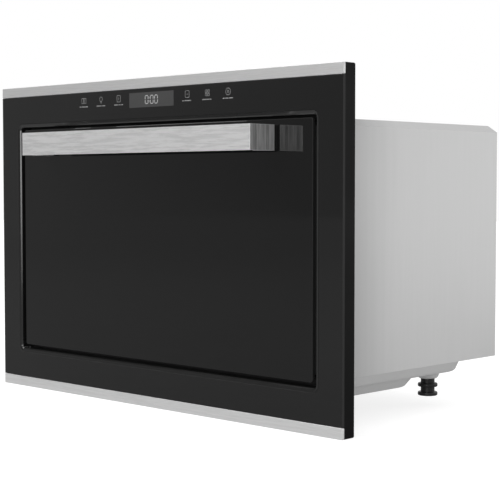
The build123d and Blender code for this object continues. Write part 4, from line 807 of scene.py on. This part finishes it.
def screw_tree(finish):
    """A pan head with a cross recess on a shank; its seat is at the origin and its head points up."""
    build, identifiers, given = geometry_tree("screws", {"Head radius": "Float", "Turn": "Float"})
    radius = given["Head radius"]

    def vector(*values):
        return build.node("ShaderNodeCombineXYZ", inputs=values)

    def placed(piece, height, long, wide, tall):
        """A piece moved up and stretched; the lengths are shares of the head's radius."""
        scale = vector(radius * long, radius * wide, radius * tall)
        inputs = {"Geometry": piece, "Translation": vector(0, 0, radius * height), "Scale": scale}
        return build.node("GeometryNodeTransform", inputs=inputs)

    ball = build.node("GeometryNodeMeshUVSphere", inputs={"Segments": 24, "Rings": 12, "Radius": 1.0})
    cube = build.node("GeometryNodeMeshCube", inputs={"Size": (1, 1, 1)})
    pin = build.node("GeometryNodeMeshCylinder", inputs={"Vertices": 20, "Radius": 1.0, "Depth": 1.0})
    dome = placed(ball, 0, 1, 1, dome_height)
    lower_half = placed(cube, -cutter_height / 2, cutter_width, cutter_width, cutter_height)
    slots = [
        placed(cube, slot_middle, long, wide, slot_depth)
        for long, wide in ((slot_length, slot_width), (slot_width, slot_length))
    ]
    shank = placed(pin, -shank_length / 2, shank_radius, shank_radius, shank_length)
    head = build.node("GeometryNodeMeshBoolean", {"operation": "DIFFERENCE"}, {"Mesh 1": dome})
    for cutter in (lower_half, *slots):
        build.feed(head.output.node.inputs["Mesh 2"], cutter)
    screw = build.node("GeometryNodeJoinGeometry")
    for piece in (shank, head):
        build.feed(screw.output.node.inputs["Geometry"], piece)
    inputs = {"Points": given["Geometry"], "Instance": screw, "Rotation": vector(given["Turn"], 0, 0)}
    close_tree(build, build.node("GeometryNodeInstanceOnPoints", inputs=inputs), finish)
    return build, identifiers


screws = screw_tree(zinc)
print("screw tree", len(screws[0].tree.nodes), "nodes")

# %% [markdown]
# ## Where the screws go
# A screw's place is its seat, measured from the pieces that it holds together. The rear panel has three
# screws up each side and two along its lower edge, the front frame has three up each side, and the touch
# board has one in each corner. Only the board's screws have their heads towards the room, behind the glass.

# %% Screw places
panel_low, panel_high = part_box("rear_panel")
board_low, board_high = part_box("touch_board")
frame_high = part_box("front_frame")[1]
wrapper_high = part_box("outer_wrapper")[1]
lining_low, lining_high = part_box("opening_trim")
panel_screw_inset = 6.0 * mm
panel_screw_heights = (78.0 * mm, 154.0 * mm, 295.6 * mm)
panel_screw_rise = 7.5 * mm
frame_screw_inset = 5.0 * mm
frame_screw_pitch = 89.04 * mm
board_screw_inset = 5.0 * mm
head_to_rear = math.radians(-90)
head_to_room = math.radians(90)


def both_sides(x):
    return (-x, x)


def grid(xs, seat, zs):
    """A point at every crossing of some upright and some level lines."""
    return [(x, seat, z) for x in xs for z in zs]


opening_middle = (lining_low.z + lining_high.z) / 2
frame_screw_heights = [opening_middle + step * frame_screw_pitch for step in (-1, 0, 1)]
panel_screws = grid(both_sides(panel_high.x - panel_screw_inset), panel_high.y, panel_screw_heights)
panel_screws += grid(both_sides(panel_high.x / 2), panel_high.y, [panel_low.z + panel_screw_rise])
frame_screws = grid(both_sides(wrapper_high.x - frame_screw_inset), frame_high.y, frame_screw_heights)
board_screws = grid(
    (board_low.x + board_screw_inset, board_high.x - board_screw_inset), board_low.y,
    (board_low.z + board_screw_inset, board_high.z - board_screw_inset),
)
screw_sets = {
    "rear_screws": (3.8 * mm, head_to_rear, panel_screws),
    "frame_screws": (3.4 * mm, head_to_rear, frame_screws),
    "board_screws": (2.4 * mm, head_to_room, board_screws),
}
for name, (head_radius, turned, places) in screw_sets.items():
    points = bpy.data.meshes.new(name)
    points.from_pydata(places, [], [])
    sizes = {"Head radius": head_radius, "Turn": turned}
    piece = grow_piece(name, points, *screws, sizes, "cabinet", "screw_metal")
    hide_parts("chassis_screws")

# %% [markdown]
# ## The studio
# The room is plain: a pale floor, a dome of light that is brighter overhead, and three soft lamps. Black
# glass shows whatever stands before it, so a photographer puts up grey cards where the glass looks and
# leaves the rest white.
# The world does the same by direction: a glossy ray towards two opposite corners of the room sees a card,
# and one that leaves high up to the left sees a dark flag, which keeps the gap under the drawer's front
# black. One towards the camera sees the dark stand behind it.

# %% World
far_left_card_level = 0.32
card_level = 0.235
flag_darkness = 0.9
stand_darkness = 0.6
dome_below, dome_above = 0.62, 1.05

world = bpy.data.worlds.new("studio")
scene.world = world
world.use_nodes = True
world.node_tree.nodes.clear()
studio = Finish("studio", world.node_tree)
east, north, up = studio.split(studio.node("ShaderNodeTexCoord", output="Generated"))
card = (east * north).spread(-0.1, 0.35) * up.spread(0.30, 0.65, 1, 0)
flag = east.spread(-0.60, -0.35, 1, 0) * up.spread(0.25, 0.45)
stand = (east - north).spread(1.10, 1.32) * up.spread(0.20, 0.50, 1, 0)
card_shade = east.spread(-0.80, -0.62, far_left_card_level, card_level)
mirrored = (1 - card * (1 - card_shade)) * (1 - flag * flag_darkness) * (1 - stand * stand_darkness)
dome = up.spread(-0.4, 0.9, dome_below, dome_above)
to_camera, through_glass, glossy = studio.rays("Camera", "Transmission", "Glossy")
seen = to_camera.math("MAXIMUM", through_glass)
strength = seen + (1 - seen) * (glossy * mirrored + (1 - glossy) * dome)
background = studio.node("ShaderNodeBackground", inputs={"Color": grey(1.0), "Strength": strength})
studio.node("ShaderNodeOutputWorld", inputs={"Surface": background})
print("world", len(world.node_tree.nodes), "nodes")

# %% [markdown]
# ## The lamps
# A lamp is soft when it is large, so each is a square, from 0.8 to 2.1 metres wide. The one overhead stands
# to the left and lights the top and the front, the one beyond the camera gives the bent ends of the handle
# their gleam, and a weak one at the right evens out the body's side towards the rear. A small function
# places a lamp by where it stands and what it looks at, because that is how a photographer thinks of it.

# %% Lamps
side_towards_rear = Vector((0.28, 0.24, 0.19))
lamps = {
    "overhead": {"place": Vector((-0.9, -1.6, 2.1)), "target": middle, "size": 2.1, "watts": 43},
    "camera side": {"place": Vector((1.45, -2.36, 0.5)), "target": middle, "size": 0.9, "watts": 14.5},
    "rear": {"place": Vector((0.95, 1.05, 0.30)), "target": side_towards_rear, "size": 0.8, "watts": 3.0},
}


def softbox(name, place, target, size, watts):
    light = bpy.data.lights.new(name, "AREA")
    light.shape = "SQUARE"
    light.size = size
    light.energy = watts
    lamp = bpy.data.objects.new(name, light)
    aim = (place - target).to_track_quat("Z", "Y").to_matrix().to_4x4()
    lamp.matrix_world = Matrix.Translation(place) @ aim
    scene.collection.objects.link(lamp)
    print("lamp", name, watts, "W")


for name, values in lamps.items():
    softbox(name, **values)

# %% [markdown]
# ## The floor
# The floor is white to the camera and still has to keep the object's shadow. Pure white paint would need
# more light than the object can take, so the floor is part paint and part its own glow, and only the paint
# part darkens in the shade. To a glossy ray it is a card as dark as the world's, so that the glass stays
# even.

# %% Floor
floor_reach = 7.0
floor_height = cad_bounds[0].z
paint_levels = (0.37, 0.39)
mirrored_paint = 0.04
glow = 0.235
glow_to_camera = 0.50
glow_to_object = 0.34

floor_mesh = bpy.data.meshes.new("floor")
square = ((-1, -1), (1, -1), (1, 1), (-1, 1))
corners = [(x * floor_reach, y * floor_reach, floor_height) for x, y in square]
floor_mesh.from_pydata(corners, [], [(0, 1, 2, 3)])
floor = bpy.data.objects.new("floor", floor_mesh)
scene.collection.objects.link(floor)
pale = Finish("pale floor")
grain = pale.noise(30, 3.0).spread(0.3, 0.7)
to_camera, glossy, diffuse = pale.rays("Camera", "Glossy", "Diffuse")
paint = pale.blend(grain, *map(grey, paint_levels))
pale.surface(
    Base_Color=pale.blend(glossy, paint, grey(mirrored_paint)),
    Roughness=grain.spread(0, 1, 0.85, 0.95),
    Emission_Color=grey(1.0),
    Emission_Strength=to_camera * glow_to_camera + diffuse * glow_to_object + glow,
)
floor_mesh.materials.append(pale.material)
print("floor at", round(floor_height / mm, 1), "mm")
